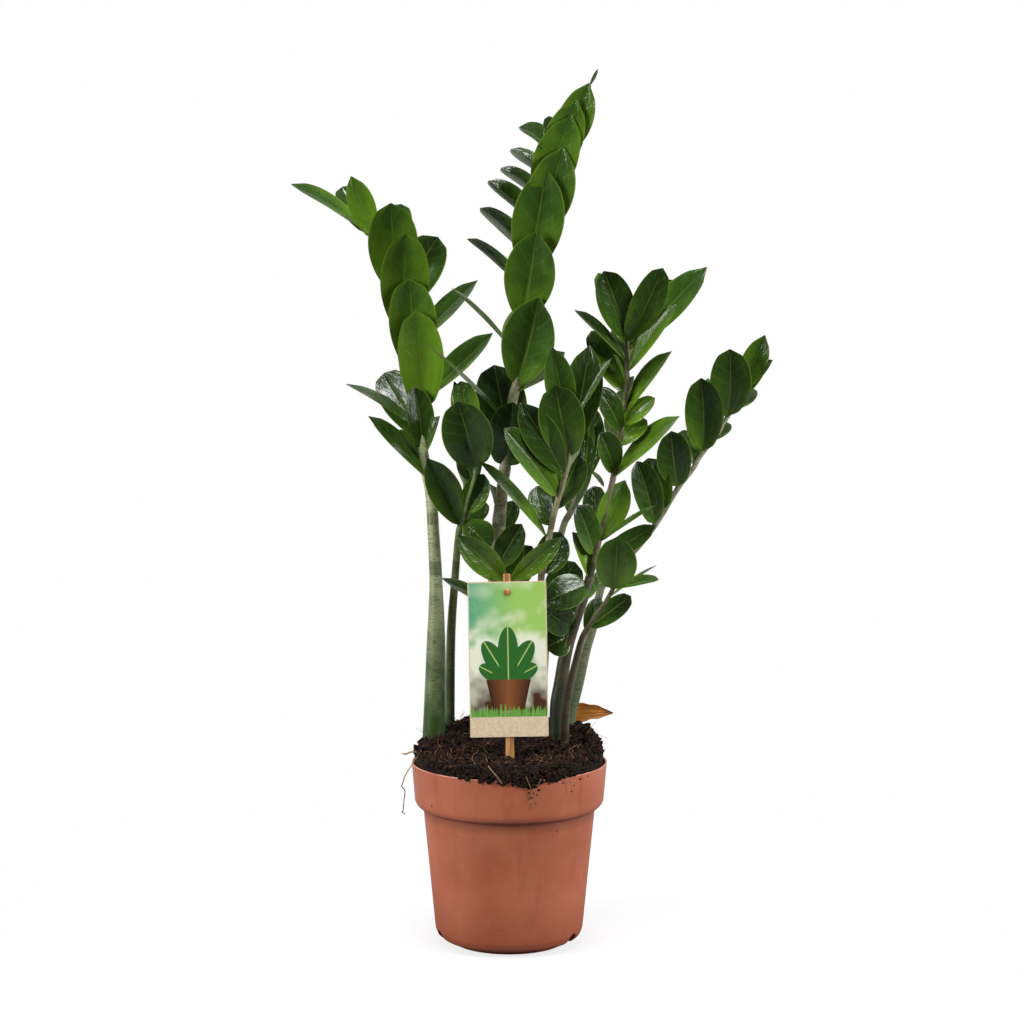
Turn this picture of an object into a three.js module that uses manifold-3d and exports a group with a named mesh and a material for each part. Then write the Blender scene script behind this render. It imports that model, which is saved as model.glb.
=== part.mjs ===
// A potted ZZ plant: a round plastic pot, heaped soil, nine leafy stems (fronds), a dry sheath on the soil
// and a plant label on a wooden stick. Millimetres, +Z up. The origin is the centre of the pot's underside,
// and the front, with the label, faces -Y.
import * as THREE from "three";
import { mergeVertices } from "three/addons/utils/BufferGeometryUtils.js";
import Module from "manifold-3d";

const wasm = await Module();
wasm.setup();

// ---- Driving dimensions ----------------------------------------------------------------------------------

const GAP = 0.35; // clear space between two pieces that meet
const SOIL_GAP = 0.6; // between soil and pot, which are turned with different numbers of sides

// Pot: one thin moulding with a rim band, a tapered body and a raised foot disc under it.
const POT_HEIGHT = 160;
const RIM_RADIUS = 85.4;
const BAND_RADIUS = 82.8; // at the band's lower edge
const BAND_FOOT = 128; // height of the band's lower edge
const STEP_HEIGHT = 118.5; // where the body starts, under the band
const BODY_TOP_RADIUS = 75;
const BODY_FOOT_RADIUS = 65.2;
const BODY_FOOT = 18; // where the rounded bottom corner starts
const FOOT_RADIUS = 50;
const FOOT_DEPTH = 4.5; // how far the foot disc stands below the outer wall
const WALL = 1.6;
const POT_SIDES = 40;

// Drain notches: arches cut through the pot's bottom corner.
const NOTCH_ANGLES = [85, 200, 330]; // degrees from +X, seen from above
const NOTCH_WIDTH = 13;
const NOTCH_TOP = 14;
const NOTCH_INNER_RADIUS = 56;

// Soil: it fills the pot, stands above the rim and rises towards the back.
const SOIL_LIFT = 14.5; // above the rim at the middle
const SOIL_SLOPE = 0.16; // rise towards the back
const SOIL_DOME = 4;
const SOIL_SHOULDER = 12; // width of the rounded shoulder inside the rim
const SOIL_RADIUS = 82.6; // above the rim
const SOIL_LUMP = 1.6; // size of the crumbs' relief
const SOIL_SIDES = 30;

// Fronds: stems stand in holes in the soil, and leaflets are rooted on the stem's centreline.
const BURIED = 28; // length of stem below the soil's surface
const STEM_SIDES = 8;
const STEM_STEPS = 14;
const PETIOLE_END = 0.2; // share of a blade's length up to which it is a bare stalk
const PETIOLE_HALF_WIDTH = 1.5;
const PETIOLE_THICKNESS = 2.2;
const BLADE_THICKNESS = 0.8;
const BLADE_ARCH = 0.05; // height of the midrib's bow over the blade's length
const BLADE_FOLD = 0.22; // rise of each half blade over its half width
const BLADE_STATIONS = [0, 0.12, 0.34, 0.62, 0.86, 1]; // root, neck, three across the blade, tip

// Plant label: a card on a wooden stick, pegged together near the top. Its top leans a little to the left.
const CARD_WIDTH = 66.5;
const CARD_HEIGHT = 131;
const CARD_THICKNESS = 0.8;
const CARD_LIFT = 23; // lower edge above the soil, along the stick
const STICK_WIDTH = 7.2;
const STICK_THICKNESS = 2.4;
const STICK_TOP = 161;
const PEG_RADIUS = 1.7;
const PEG_HEIGHT = 146;
const PEG_STAND_OUT = 1.6;
const LABEL_TILT = -1; // degrees about Y
const LABEL_ENTRY = [510, 763]; // where the stick enters the soil in the front view
const LABEL_DEPTH = -45; // of the stick's middle

// ---- The front view --------------------------------------------------------------------------------------
// Stems and leaflets are placed by where they appear in the front view, a square of 1024 pixels, at a depth
// along Y that is given in millimetres (a smaller Y is nearer the eye).

const EYE = new THREE.Vector3(2.6, -2000, 560);
const PITCH = THREE.MathUtils.degToRad(5.2); // the eye looks this far down
const FOCAL_PIXELS = 2317;
const MIDDLE_PIXEL = 512;
const FORWARD = new THREE.Vector3(0, Math.cos(PITCH), -Math.sin(PITCH));
const UPWARD = new THREE.Vector3(0, Math.sin(PITCH), Math.cos(PITCH));
const TOWARDS_EYE = new THREE.Vector3(0, -1, 0);

// The point at the given depth that appears at this pixel.
function seen([column, row], depth) {
  const ray = FORWARD.clone();
  ray.x += (column - MIDDLE_PIXEL) / FOCAL_PIXELS;
  ray.addScaledVector(UPWARD, (MIDDLE_PIXEL - row) / FOCAL_PIXELS);
  return EYE.clone().addScaledVector(ray, (depth - EYE.y) / ray.y);
}

function rowOf(point) {
  const fromEye = point.clone().sub(EYE);
  return MIDDLE_PIXEL - (FOCAL_PIXELS * fromEye.dot(UPWARD)) / fromEye.dot(FORWARD);
}

// Each frond lists its stem from the soil upwards as [column, row, depth in mm, width in mm], and its
// leaflets: the row of the root on the stem, the tip's [column, row], how far the tip lies behind the root
// (negative: in front of it), the blade's width, and its roll about its own length in degrees. At roll 0
// the upper face looks at the eye, near 90 the blade is seen from its edge, and past 90 from below.
const FRONDS = {
  frond_left_tall: {
    stem: [
      [435, 737, 15, 19],
      [436, 650, 17, 16],
      [436, 585, 20, 11.5],
      [433.5, 533, 24, 10.5],
      [431, 496, 28, 10],
      [426, 468, 32, 9],
      [422, 440, 36, 8],
      [423, 412, 41, 7],
      [418, 375, 48, 6],
      [412, 345, 54, 5.5],
      [405, 312, 61, 5],
      [396, 278, 69, 4.5],
      [381, 248, 77, 4],
      [366, 230, 83, 3.6],
    ],
    leaflets: [
      { row: 412, tip: [416, 311], behind: -34, width: 40, roll: 0 },
      { row: 350, tip: [409, 279], behind: -32, width: 42, roll: 5 },
      { row: 315, tip: [406, 234], behind: -32, width: 43, roll: 0 },
      { row: 272, tip: [391, 203], behind: -28, width: 43, roll: 5 },
      { row: 265, tip: [400, 204], behind: 18, width: 34, roll: -15 },
      { row: 232, tip: [351, 176], behind: -14, width: 28, roll: 35 },
      { row: 236, tip: [345, 186], behind: 20, width: 24, roll: 30 },
      { row: 232, tip: [291, 184], behind: -10, width: 32, roll: 62 },
      { row: 292, tip: [438, 237], behind: 20, width: 36, roll: -15 },
      { row: 345, tip: [478, 280], behind: 10, width: 34, roll: -65 },
      { row: 400, tip: [492, 333], behind: 10, width: 31, roll: -62 },
      { row: 432, tip: [346, 384], behind: 15, width: 34, roll: 72 },
      { row: 437, tip: [389, 373], behind: -24, width: 30, roll: 35 },
      { row: 440, tip: [420, 387], behind: -30, width: 28, roll: 40 },
      { row: 478, tip: [368, 416], behind: -10, width: 30, roll: 60 },
      { row: 462, tip: [391, 431], behind: 20, width: 22, roll: 30 },
      { row: 458, tip: [440, 416], behind: -8, width: 22, roll: -50 },
      { row: 385, tip: [420, 318], behind: 38, width: 36, roll: 180 },
      { row: 325, tip: [410, 256], behind: 40, width: 36, roll: 180 },
    ],
  },
  frond_left_thin: {
    stem: [
      [450, 720, 45, 8.5],
      [451, 637, 36, 8],
      [454.5, 585, 26, 7],
      [459, 533, 12, 6.2],
      [464, 520, 5, 4.6],
      [469, 497, -4, 4],
      [473, 484, -9, 3.8],
      [476, 466, -15, 3.6],
      [470, 435, -22, 3.4],
    ],
    leaflets: [
      { row: 527, tip: [427, 458], behind: -30, width: 29, roll: 10 },
      { row: 468, tip: [457, 401], behind: -28, width: 43, roll: 0 },
      { row: 452, tip: [454, 381], behind: 0, width: 20, roll: 45 },
      { row: 438, tip: [461, 381], behind: 16, width: 22, roll: 15 },
      { row: 484, tip: [463, 458], behind: 14, width: 20, roll: 10 },
      { row: 501, tip: [478, 461], behind: 2, width: 20, roll: -50 },
      { row: 514, tip: [484, 474], behind: -10, width: 22, roll: -10 },
      { row: 522, tip: [491, 548], behind: -10, width: 26, roll: -20 },
      { row: 492, tip: [468, 425], behind: 34, width: 24, roll: 180 },
    ],
  },
  frond_centre_tall: {
    stem: [
      [490, 731, 25, 17],
      [493, 640, 20, 15],
      [497, 552, 14, 13],
      [501, 501, 9, 10.8],
      [506, 460, 5, 9.6],
      [510, 425, 2, 9.4],
      [513, 398, -1, 9],
      [517, 380, -3, 7],
      [520, 340, -8, 6.4],
      [524, 300, -13, 5.8],
      [530, 250, -20, 5.2],
      [541, 205, -26, 4.8],
      [553, 165, -31, 4.4],
      [566, 130, -36, 4],
      [580, 103, -40, 3.6],
      [590, 85, -43, 3],
    ],
    leaflets: [
      { row: 387, tip: [539, 297], behind: -30, width: 43, roll: 5 },
      { row: 312, tip: [537, 231], behind: -30, width: 43, roll: 0 },
      { row: 250, tip: [546, 168], behind: -28, width: 43, roll: 0 },
      { row: 215, tip: [564, 148], behind: -22, width: 38, roll: -5 },
      { row: 178, tip: [572, 115], behind: -20, width: 35, roll: 0 },
      { row: 150, tip: [577, 99], behind: -16, width: 30, roll: 5 },
      { row: 122, tip: [589, 83], behind: -12, width: 26, roll: 0 },
      { row: 90, tip: [598, 70], behind: 0, width: 6, roll: 0 },
      { row: 140, tip: [547, 116], behind: 12, width: 26, roll: 120 },
      { row: 152, tip: [519, 127], behind: 16, width: 28, roll: 118 },
      { row: 177, tip: [510, 149], behind: 16, width: 30, roll: 110 },
      { row: 197, tip: [501, 168], behind: 16, width: 32, roll: 108 },
      { row: 222, tip: [488, 181], behind: 16, width: 34, roll: 112 },
      { row: 257, tip: [480, 208], behind: 12, width: 36, roll: 115 },
      { row: 290, tip: [468, 239], behind: 8, width: 36, roll: 102 },
      { row: 355, tip: [451, 288], behind: -12, width: 34, roll: 100 },
      { row: 424, tip: [427, 344], behind: -34, width: 34, roll: 100 },
      { row: 392, tip: [565, 352], behind: 10, width: 30, roll: -60 },
      { row: 467, tip: [513, 402], behind: -26, width: 35, roll: 0 },
      { row: 445, tip: [497, 365], behind: 18, width: 35, roll: 5 },
      { row: 570, tip: [522, 524], behind: -4, width: 24, roll: -15 },
      { row: 520, tip: [490, 484], behind: 14, width: 20, roll: 55 },
      { row: 540, tip: [516, 500], behind: 14, width: 20, roll: -15 },
      { row: 366, tip: [530, 300], behind: 34, width: 36, roll: 180 },
      { row: 300, tip: [536, 235], behind: 32, width: 34, roll: 180 },
      { row: 235, tip: [550, 170], behind: 28, width: 32, roll: 180 },
    ],
  },
  frond_centre: {
    stem: [
      [536, 735, 12, 7.5],
      [538, 650, 2, 7],
      [541, 580, -8, 6],
      [544, 567, -11, 5.6],
      [550, 533, -18, 5.2],
      [557, 503, -24, 4.8],
      [564, 480, -28, 4.4],
      [568.5, 461, -31, 4.2],
      [569, 440, -34, 4],
      [565, 424, -36, 3.6],
    ],
    leaflets: [
      { row: 458, tip: [555, 385], behind: -22, width: 38, roll: 0 },
      { row: 499, tip: [504, 428], behind: -16, width: 29, roll: 35 },
      { row: 540, tip: [479, 461], behind: -18, width: 30, roll: 58 },
      { row: 428, tip: [552, 347], behind: -10, width: 27, roll: 15 },
      { row: 450, tip: [590, 345], behind: 18, width: 30, roll: -10 },
      { row: 528, tip: [537, 486], behind: -12, width: 22, roll: 40 },
      { row: 488, tip: [543, 440], behind: 12, width: 22, roll: 30 },
      { row: 575, tip: [560, 532], behind: -6, width: 24, roll: -10 },
      { row: 476, tip: [520, 402], behind: -8, width: 30, roll: 15 },
      { row: 434, tip: [612, 358], behind: -10, width: 24, roll: -66 },
      { row: 468, tip: [570, 400], behind: 30, width: 24, roll: 180 },
    ],
  },
  frond_right_centre: {
    stem: [
      [556.5, 745, 0, 12.5],
      [557, 706, 0, 12.5],
      [561, 683, 0, 12.5],
      [564.4, 660, 0, 11.5],
      [571, 635, 1, 9.5],
      [579.4, 612, 3, 8],
      [586, 591, 5, 7.4],
      [590.7, 572, 6, 7],
      [599.3, 536, 9, 6.2],
      [607.9, 500, 12, 5.6],
      [612.7, 480, 14, 5.2],
      [616.5, 456, 16, 4.8],
      [621.3, 433, 18, 4.6],
      [624, 413, 20, 4.4],
      [626, 383, 23, 4],
      [627.6, 335, 28, 3.6],
    ],
    leaflets: [
      { row: 338, tip: [604, 271], behind: -22, width: 30, roll: 10 },
      { row: 347, tip: [598, 273], behind: 14, width: 24, roll: 20 },
      { row: 340, tip: [666, 271], behind: -10, width: 27, roll: -20 },
      { row: 344, tip: [669, 275], behind: 20, width: 26, roll: -15 },
      { row: 349, tip: [707, 267], behind: -30, width: 28, roll: -40 },
      { row: 365, tip: [677, 304], behind: -6, width: 26, roll: -60 },
      { row: 395, tip: [591, 331], behind: 14, width: 28, roll: 20 },
      { row: 362, tip: [574, 310], behind: -8, width: 25, roll: 60 },
      { row: 388, tip: [613, 354], behind: -16, width: 14, roll: 70 },
      { row: 418, tip: [672, 351], behind: -4, width: 28, roll: -60 },
      { row: 426, tip: [655, 398], behind: -14, width: 22, roll: -50 },
      { row: 444, tip: [647, 420], behind: -4, width: 22, roll: -35 },
      { row: 478, tip: [680, 416], behind: -18, width: 28, roll: -55 },
      { row: 405, tip: [633, 376], behind: 12, width: 16, roll: -60 },
      { row: 434, tip: [596, 386], behind: -20, width: 26, roll: 30 },
      { row: 474, tip: [600, 432], behind: -18, width: 24, roll: 30 },
      { row: 545, tip: [622, 480], behind: 14, width: 22, roll: -20 },
      { row: 533, tip: [594, 486], behind: -16, width: 22, roll: 40 },
      { row: 554, tip: [577, 505], behind: -16, width: 24, roll: 40 },
      { row: 575, tip: [572, 532], behind: -6, width: 22, roll: 50 },
      { row: 580, tip: [548, 597], behind: -14, width: 24, roll: 25 },
      { row: 587, tip: [568, 562], behind: 14, width: 20, roll: 20 },
      { row: 624, tip: [545, 608], behind: -12, width: 25, roll: 20 },
      { row: 631, tip: [548, 646], behind: -8, width: 22, roll: 20 },
      { row: 543, tip: [656, 505], behind: -12, width: 16, roll: -76 },
      { row: 375, tip: [628, 305], behind: 34, width: 28, roll: 180 },
      { row: 452, tip: [622, 388], behind: 30, width: 26, roll: 180 },
    ],
  },
  frond_right: {
    stem: [
      [565.5, 733, 28, 12],
      [570, 712, 28, 12],
      [578, 680, 29, 11.5],
      [585, 650, 30, 10.4],
      [592, 628, 31, 9],
      [598, 600, 33, 7],
      [604, 583, 35, 6],
      [617, 566, 37, 5.6],
      [636, 549, 40, 5.4],
      [657, 522, 45, 5],
      [678, 488, 52, 4.6],
      [692, 470, 56, 4.4],
      [701, 455, 59, 4.2],
      [717.6, 434, 63, 4],
      [725, 421, 66, 3.8],
      [749, 382, 74, 3.4],
    ],
    leaflets: [
      { row: 453, tip: [701, 378], behind: -24, width: 32, roll: 0 },
      { row: 419, tip: [730, 349], behind: -24, width: 35, roll: 0 },
      { row: 385, tip: [765, 335], behind: -14, width: 27, roll: -15 },
      { row: 389, tip: [770, 361], behind: 6, width: 16, roll: -76 },
      { row: 487, tip: [671, 431], behind: -22, width: 30, roll: 5 },
      { row: 465, tip: [683, 430], behind: 14, width: 20, roll: 15 },
      { row: 412, tip: [753, 388], behind: 14, width: 20, roll: -40 },
      { row: 440, tip: [727, 422], behind: 12, width: 16, roll: -40 },
      { row: 524, tip: [637, 461], behind: -16, width: 26, roll: 15 },
      { row: 513, tip: [648, 458], behind: 16, width: 24, roll: 0 },
      { row: 548, tip: [655, 525], behind: 12, width: 20, roll: -45 },
      { row: 445, tip: [708, 378], behind: 30, width: 28, roll: 180 },
    ],
  },
  frond_rear: {
    stem: [
      [541, 733, 40, 8],
      [545, 650, 42, 7.5],
      [550, 595, 45, 6.6],
      [562, 531, 52, 6],
      [571.6, 510, 55, 5.6],
      [587, 476, 60, 5.2],
      [591, 464, 62, 5],
      [594, 451, 64, 5.4],
    ],
    leaflets: [
      { row: 516, tip: [588, 455], behind: 14, width: 26, roll: -35 },
      { row: 484, tip: [590, 402], behind: 6, width: 28, roll: 0 },
      { row: 455, tip: [593, 421], behind: -8, width: 9, roll: -50 },
      { row: 470, tip: [604, 487], behind: -2, width: 9, roll: -50 },
    ],
  },
  frond_low_right: {
    stem: [
      [564.5, 748, -13, 7.5],
      [565.5, 715, -15, 7],
      [569, 690, -17, 6.5],
      [573.5, 670, -19, 6],
      [578.5, 650, -22, 5.4],
      [583, 636, -25, 5],
      [590.6, 624, -28, 4.4],
      [599, 611, -32, 4],
      [605, 603, -35, 3.8],
      [613, 589, -41, 3.6],
    ],
    leaflets: [
      { row: 590, tip: [618, 537], behind: -18, width: 33, roll: 0 },
      { row: 589, tip: [659, 580], behind: -10, width: 20, roll: -62 },
      { row: 598, tip: [657, 565], behind: 20, width: 14, roll: -76 },
      { row: 625, tip: [630, 593], behind: 10, width: 24, roll: -10 },
      { row: 632, tip: [600, 597], behind: 14, width: 16, roll: -10 },
    ],
  },
  frond_front_low: {
    stem: [
      [506, 738, 8, 6.4],
      [506, 700, -4, 6],
      [506, 650, -15, 5.4],
      [507, 615, -22, 5],
      [508, 582, -28, 4.4],
    ],
    leaflets: [
      { row: 584, tip: [457, 535], behind: -10, width: 26, roll: 25 },
      { row: 584, tip: [561, 537], behind: -10, width: 22, roll: -25 },
      { row: 615, tip: [441, 578], behind: 0, width: 22, roll: 62 },
    ],
  },
};

// The dry sheath: a folded blade whose base is tucked into the soil beside the right frond.
const SHEATH = { base: [561, 722], tip: [613, 712], depth: 44, behind: -6, width: 17, roll: 20 };

// ---- Solids ----------------------------------------------------------------------------------------------

// A closed geometry as a solid: only positions, shared vertices merged, triangles with no area left out.
function solid(geometry) {
  const bare = geometry.clone();
  bare.deleteAttribute("normal");
  bare.deleteAttribute("uv");
  const merged = mergeVertices(bare);
  const corners = merged.index.array;
  const kept = [];
  for (let i = 0; i < corners.length; i += 3) {
    const [a, b, c] = corners.slice(i, i + 3);
    if (a !== b && b !== c && c !== a) kept.push(a, b, c);
  }
  const vertProperties = new Float32Array(merged.attributes.position.array);
  return new wasm.Manifold(new wasm.Mesh({ numProp: 3, vertProperties, triVerts: new Uint32Array(kept) }));
}

function geometryOf(manifold) {
  const { vertProperties, triVerts } = manifold.getMesh();
  const geometry = new THREE.BufferGeometry();
  geometry.setAttribute("position", new THREE.BufferAttribute(vertProperties, 3));
  geometry.setIndex(new THREE.BufferAttribute(triVerts, 1));
  geometry.computeVertexNormals();
  return geometry;
}

const plant = new THREE.Group();

function addPiece(name, manifold, colour, roughness, parent = plant) {
  const material = new THREE.MeshStandardMaterial({ color: colour, roughness, metalness: 0 });
  const mesh = new THREE.Mesh(geometryOf(manifold), material);
  mesh.name = name;
  parent.add(mesh);
}

// A profile of [radius, height] points turned about the Z axis.
function turned(profile, sides) {
  const points = profile.map(([radius, height]) => new THREE.Vector2(radius, height));
  return new THREE.LatheGeometry(points, sides).rotateX(Math.PI / 2);
}

// ---- Pot -------------------------------------------------------------------------------------------------

const OUTER_WALL = [
  [0, 0],
  [FOOT_RADIUS, 0],
  [FOOT_RADIUS + 0.8, FOOT_DEPTH],
  [BODY_FOOT_RADIUS - 6.6, FOOT_DEPTH],
  [BODY_FOOT_RADIUS - 2.7, FOOT_DEPTH + 3],
  [BODY_FOOT_RADIUS - 0.7, FOOT_DEPTH + 7.5],
  [BODY_FOOT_RADIUS, BODY_FOOT],
  [BODY_TOP_RADIUS, STEP_HEIGHT - 2],
  [BODY_TOP_RADIUS + 1, STEP_HEIGHT],
  [BAND_RADIUS - 1.6, BAND_FOOT - 4],
  [BAND_RADIUS, BAND_FOOT],
  [RIM_RADIUS, POT_HEIGHT],
];

const INNER_WALL = [
  [RIM_RADIUS - WALL, POT_HEIGHT],
  [BAND_RADIUS - WALL, BAND_FOOT],
  [BAND_RADIUS - 3, BAND_FOOT - 2.4],
  [BODY_TOP_RADIUS - 0.6, STEP_HEIGHT + 1.4],
  [BODY_TOP_RADIUS - WALL, STEP_HEIGHT - 2],
  [BODY_FOOT_RADIUS - WALL, BODY_FOOT],
  [BODY_FOOT_RADIUS - WALL - 0.7, FOOT_DEPTH + 8.2],
  [BODY_FOOT_RADIUS - WALL - 2.4, FOOT_DEPTH + 4.6],
  [BODY_FOOT_RADIUS - WALL - 5.6, FOOT_DEPTH + 2],
  [FOOT_RADIUS - 1, FOOT_DEPTH + 2],
  [FOOT_RADIUS - 1.6, 2.2],
  [0, 2.2],
];

function notchTool(degrees) {
  const half = NOTCH_WIDTH / 2;
  const arch = new THREE.Shape();
  arch.moveTo(-half, -1);
  arch.lineTo(half, -1);
  arch.lineTo(half, NOTCH_TOP - half);
  arch.absarc(0, NOTCH_TOP - half, half, 0, Math.PI, false);
  const depth = BODY_FOOT_RADIUS + 5 - NOTCH_INNER_RADIUS;
  const geometry = new THREE.ExtrudeGeometry(arch, { depth, bevelEnabled: false, curveSegments: 8 });
  const angle = THREE.MathUtils.degToRad(degrees);
  const outward = new THREE.Vector3(Math.cos(angle), Math.sin(angle), 0);
  const sideways = new THREE.Vector3(-Math.sin(angle), Math.cos(angle), 0);
  const turn = new THREE.Matrix4().makeBasis(sideways, new THREE.Vector3(0, 0, 1), outward);
  turn.setPosition(outward.multiplyScalar(NOTCH_INNER_RADIUS));
  return solid(geometry.applyMatrix4(turn));
}

function potSolid() {
  const shell = solid(turned([...OUTER_WALL, ...INNER_WALL], POT_SIDES));
  return NOTCH_ANGLES.reduce((pot, degrees) => pot.subtract(notchTool(degrees)), shell);
}

// ---- Stems and leaflets ----------------------------------------------------------------------------------

// A stem's curve with its width along it. It starts below the soil, in line with its first visible stretch.
function stemLine(stem) {
  const points = stem.map(([column, row, depth]) => seen([column, row], depth));
  const downward = points[0].clone().sub(points[1]).normalize();
  const foot = points[0].clone().addScaledVector(downward, BURIED);
  const widths = [stem[0][3], ...stem.map(([, , , width]) => width)];
  return { curve: new THREE.CatmullRomCurve3([foot, ...points]), widths };
}

function widthAt(widths, along) {
  const place = along * (widths.length - 1);
  const before = Math.min(Math.floor(place), widths.length - 2);
  return THREE.MathUtils.lerp(widths[before], widths[before + 1], place - before);
}

// A round bar bent along the curve. Extra widens it all round, and lengthens it below.
function bentBar({ curve, widths }, extra = 0) {
  const geometry = new THREE.CylinderGeometry(1, 1, 1, STEM_SIDES, STEM_STEPS);
  const place = geometry.attributes.position;
  for (let i = 0; i < place.count; i++) {
    const along = place.getY(i) + 0.5;
    const radius = widthAt(widths, along) / 2 + extra;
    const tangent = curve.getTangent(along);
    const back = new THREE.Vector3(0, 1, 0).addScaledVector(tangent, -tangent.y).normalize();
    const side = tangent.clone().cross(back);
    const point = curve.getPoint(along);
    point.addScaledVector(side, place.getX(i) * radius).addScaledVector(back, place.getZ(i) * radius);
    if (along === 0) point.addScaledVector(tangent, -extra);
    place.setXYZ(i, point.x, point.y, point.z);
  }
  return solid(geometry);
}

// The curve's point that appears at this row. Rows fall steadily from the foot to the tip.
function pointAtRow(curve, row) {
  let low = 0;
  let high = 1;
  while (high - low > 0.0005) {
    const middle = (low + high) / 2;
    if (rowOf(curve.getPoint(middle)) > row) low = middle;
    else high = middle;
  }
  return curve.getPoint(low);
}

// Half width over the blade's half width: widest before the middle, and a point at the tip.
function outline(along) {
  return Math.max(Math.sin(Math.PI * along ** 0.92), 0) ** 0.8;
}

// A thin closed blade from root to tip, folded along its midrib and bowed towards its upper face. Both
// faces are split into the same triangles. Its stalk, the petiole, is a four-sided bar. Thicker grows it all
// round, but not past its tip.
function blade(root, tip, width, roll, thicker = 0) {
  const axis = tip.clone().sub(root);
  const length = axis.length();
  axis.normalize();
  const facing = TOWARDS_EYE.clone().addScaledVector(axis, -TOWARDS_EYE.dot(axis)).normalize();
  const side = axis.clone().cross(facing);
  const angle = THREE.MathUtils.degToRad(roll);
  const normal = facing.multiplyScalar(Math.cos(angle)).addScaledVector(side, Math.sin(angle));
  const across = axis.clone().cross(normal);
  const corners = [];
  for (const along of BLADE_STATIONS) {
    const petiole = along < PETIOLE_END;
    const wider = along < 1 ? thicker : 0;
    const half = wider + (petiole ? PETIOLE_HALF_WIDTH : (width / 2) * outline(along));
    const middle = (petiole ? PETIOLE_THICKNESS : BLADE_THICKNESS) / 2 + thicker;
    const bow = BLADE_ARCH * length * Math.sin(Math.PI * along);
    for (const edge of [-1, 0, 1]) {
      const deep = petiole && edge !== 0 ? 0 : middle;
      const point = root.clone().addScaledVector(axis, along * length).addScaledVector(across, edge * half);
      point.addScaledVector(normal, bow + BLADE_FOLD * half * Math.abs(edge));
      corners.push(point.clone().addScaledVector(normal, deep));
      corners.push(point.clone().addScaledVector(normal, -deep));
    }
  }
  const geometry = new THREE.BufferGeometry().setFromPoints(corners);
  geometry.setIndex(bladeTriangles(BLADE_STATIONS.length));
  return solid(geometry);
}

// Each station has three corners across (left edge, midrib, right edge), each with an upper and a lower one.
function bladeTriangles(stations) {
  const corner = (station, across, lower) => (station * 3 + across) * 2 + lower;
  const quads = [];
  for (let s = 0; s < stations - 1; s++) {
    for (const c of [0, 1]) {
      quads.push([corner(s, c, 0), corner(s, c + 1, 0), corner(s + 1, c + 1, 0), corner(s + 1, c, 0)]);
      quads.push([corner(s, c + 1, 1), corner(s, c, 1), corner(s + 1, c, 1), corner(s + 1, c + 1, 1)]);
    }
    quads.push([corner(s, 0, 1), corner(s, 0, 0), corner(s + 1, 0, 0), corner(s + 1, 0, 1)]);
    quads.push([corner(s, 2, 0), corner(s, 2, 1), corner(s + 1, 2, 1), corner(s + 1, 2, 0)]);
  }
  const last = stations - 1;
  for (const c of [0, 1]) {
    quads.push([corner(0, c, 1), corner(0, c + 1, 1), corner(0, c + 1, 0), corner(0, c, 0)]);
    quads.push([corner(last, c, 0), corner(last, c + 1, 0), corner(last, c + 1, 1), corner(last, c, 1)]);
  }
  return quads.flatMap(([a, b, c, d]) => [a, b, c, a, c, d]);
}

// The largest closed body: hollows sealed between crossing blades are filled, and loose scraps dropped.
function largestBody(manifold) {
  return manifold.decompose().reduce((best, body) => (body.volume() > best.volume() ? body : best));
}

function frondSolid({ stem, leaflets }) {
  const line = stemLine(stem);
  const frond = leaflets.reduce((joined, { row, tip, behind, width, roll }) => {
    const root = pointAtRow(line.curve, row);
    return joined.add(blade(root, seen(tip, root.y + behind), width, roll));
  }, bentBar(line));
  return largestBody(frond);
}

function sheathSolid(thicker = 0) {
  const root = seen(SHEATH.base, SHEATH.depth);
  const tip = seen(SHEATH.tip, SHEATH.depth + SHEATH.behind);
  return blade(root, tip, SHEATH.width, SHEATH.roll, thicker);
}

// ---- Label -----------------------------------------------------------------------------------------------
// The label's own frame has its origin where the stick enters the soil, with Z along the stick.

function box(width, depth, height, y, bottom) {
  return new THREE.BoxGeometry(width, depth, height).translate(0, y, bottom + height / 2);
}

function stickBar(extra = 0) {
  const bottom = -BURIED - extra;
  return box(STICK_WIDTH + 2 * extra, STICK_THICKNESS + 2 * extra, STICK_TOP - bottom, 0, bottom);
}

const CARD_BACK = -STICK_THICKNESS / 2 - GAP;

// The peg runs from the stick's middle through the card, along Y. A cylinder's own length lies along Y.
function pegBar(extra = 0) {
  const length = STICK_THICKNESS / 2 + GAP + CARD_THICKNESS + PEG_STAND_OUT;
  const peg = new THREE.CylinderGeometry(PEG_RADIUS + extra, PEG_RADIUS + extra, length, 16);
  return peg.translate(0, -length / 2, PEG_HEIGHT);
}

function stickSolid() {
  return solid(stickBar()).add(solid(pegBar()));
}

function cardSolid() {
  const card = box(CARD_WIDTH, CARD_THICKNESS, CARD_HEIGHT, CARD_BACK - CARD_THICKNESS / 2, CARD_LIFT);
  return solid(card).subtract(solid(pegBar(GAP)));
}

const label = new THREE.Group();
label.position.copy(seen(LABEL_ENTRY, LABEL_DEPTH));
label.rotation.y = THREE.MathUtils.degToRad(LABEL_TILT);
label.updateMatrixWorld();
plant.add(label);

// ---- Soil ------------------------------------------------------------------------------------------------

function soilTop(x, y) {
  const radius = Math.hypot(x, y);
  const lump = Math.sin(0.31 * x + 1.1) * Math.cos(0.27 * y + 0.4) + 0.6 * Math.sin(0.53 * y - 0.38 * x);
  const mound = SOIL_LIFT + SOIL_SLOPE * y + SOIL_DOME * (1 - (radius / SOIL_RADIUS) ** 2) + SOIL_LUMP * lump;
  const inset = Math.min((SOIL_RADIUS - radius) / SOIL_SHOULDER, 1);
  return POT_HEIGHT + Math.max(mound, 3) * (0.45 + 0.55 * Math.sqrt(Math.max(inset, 0)));
}

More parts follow.
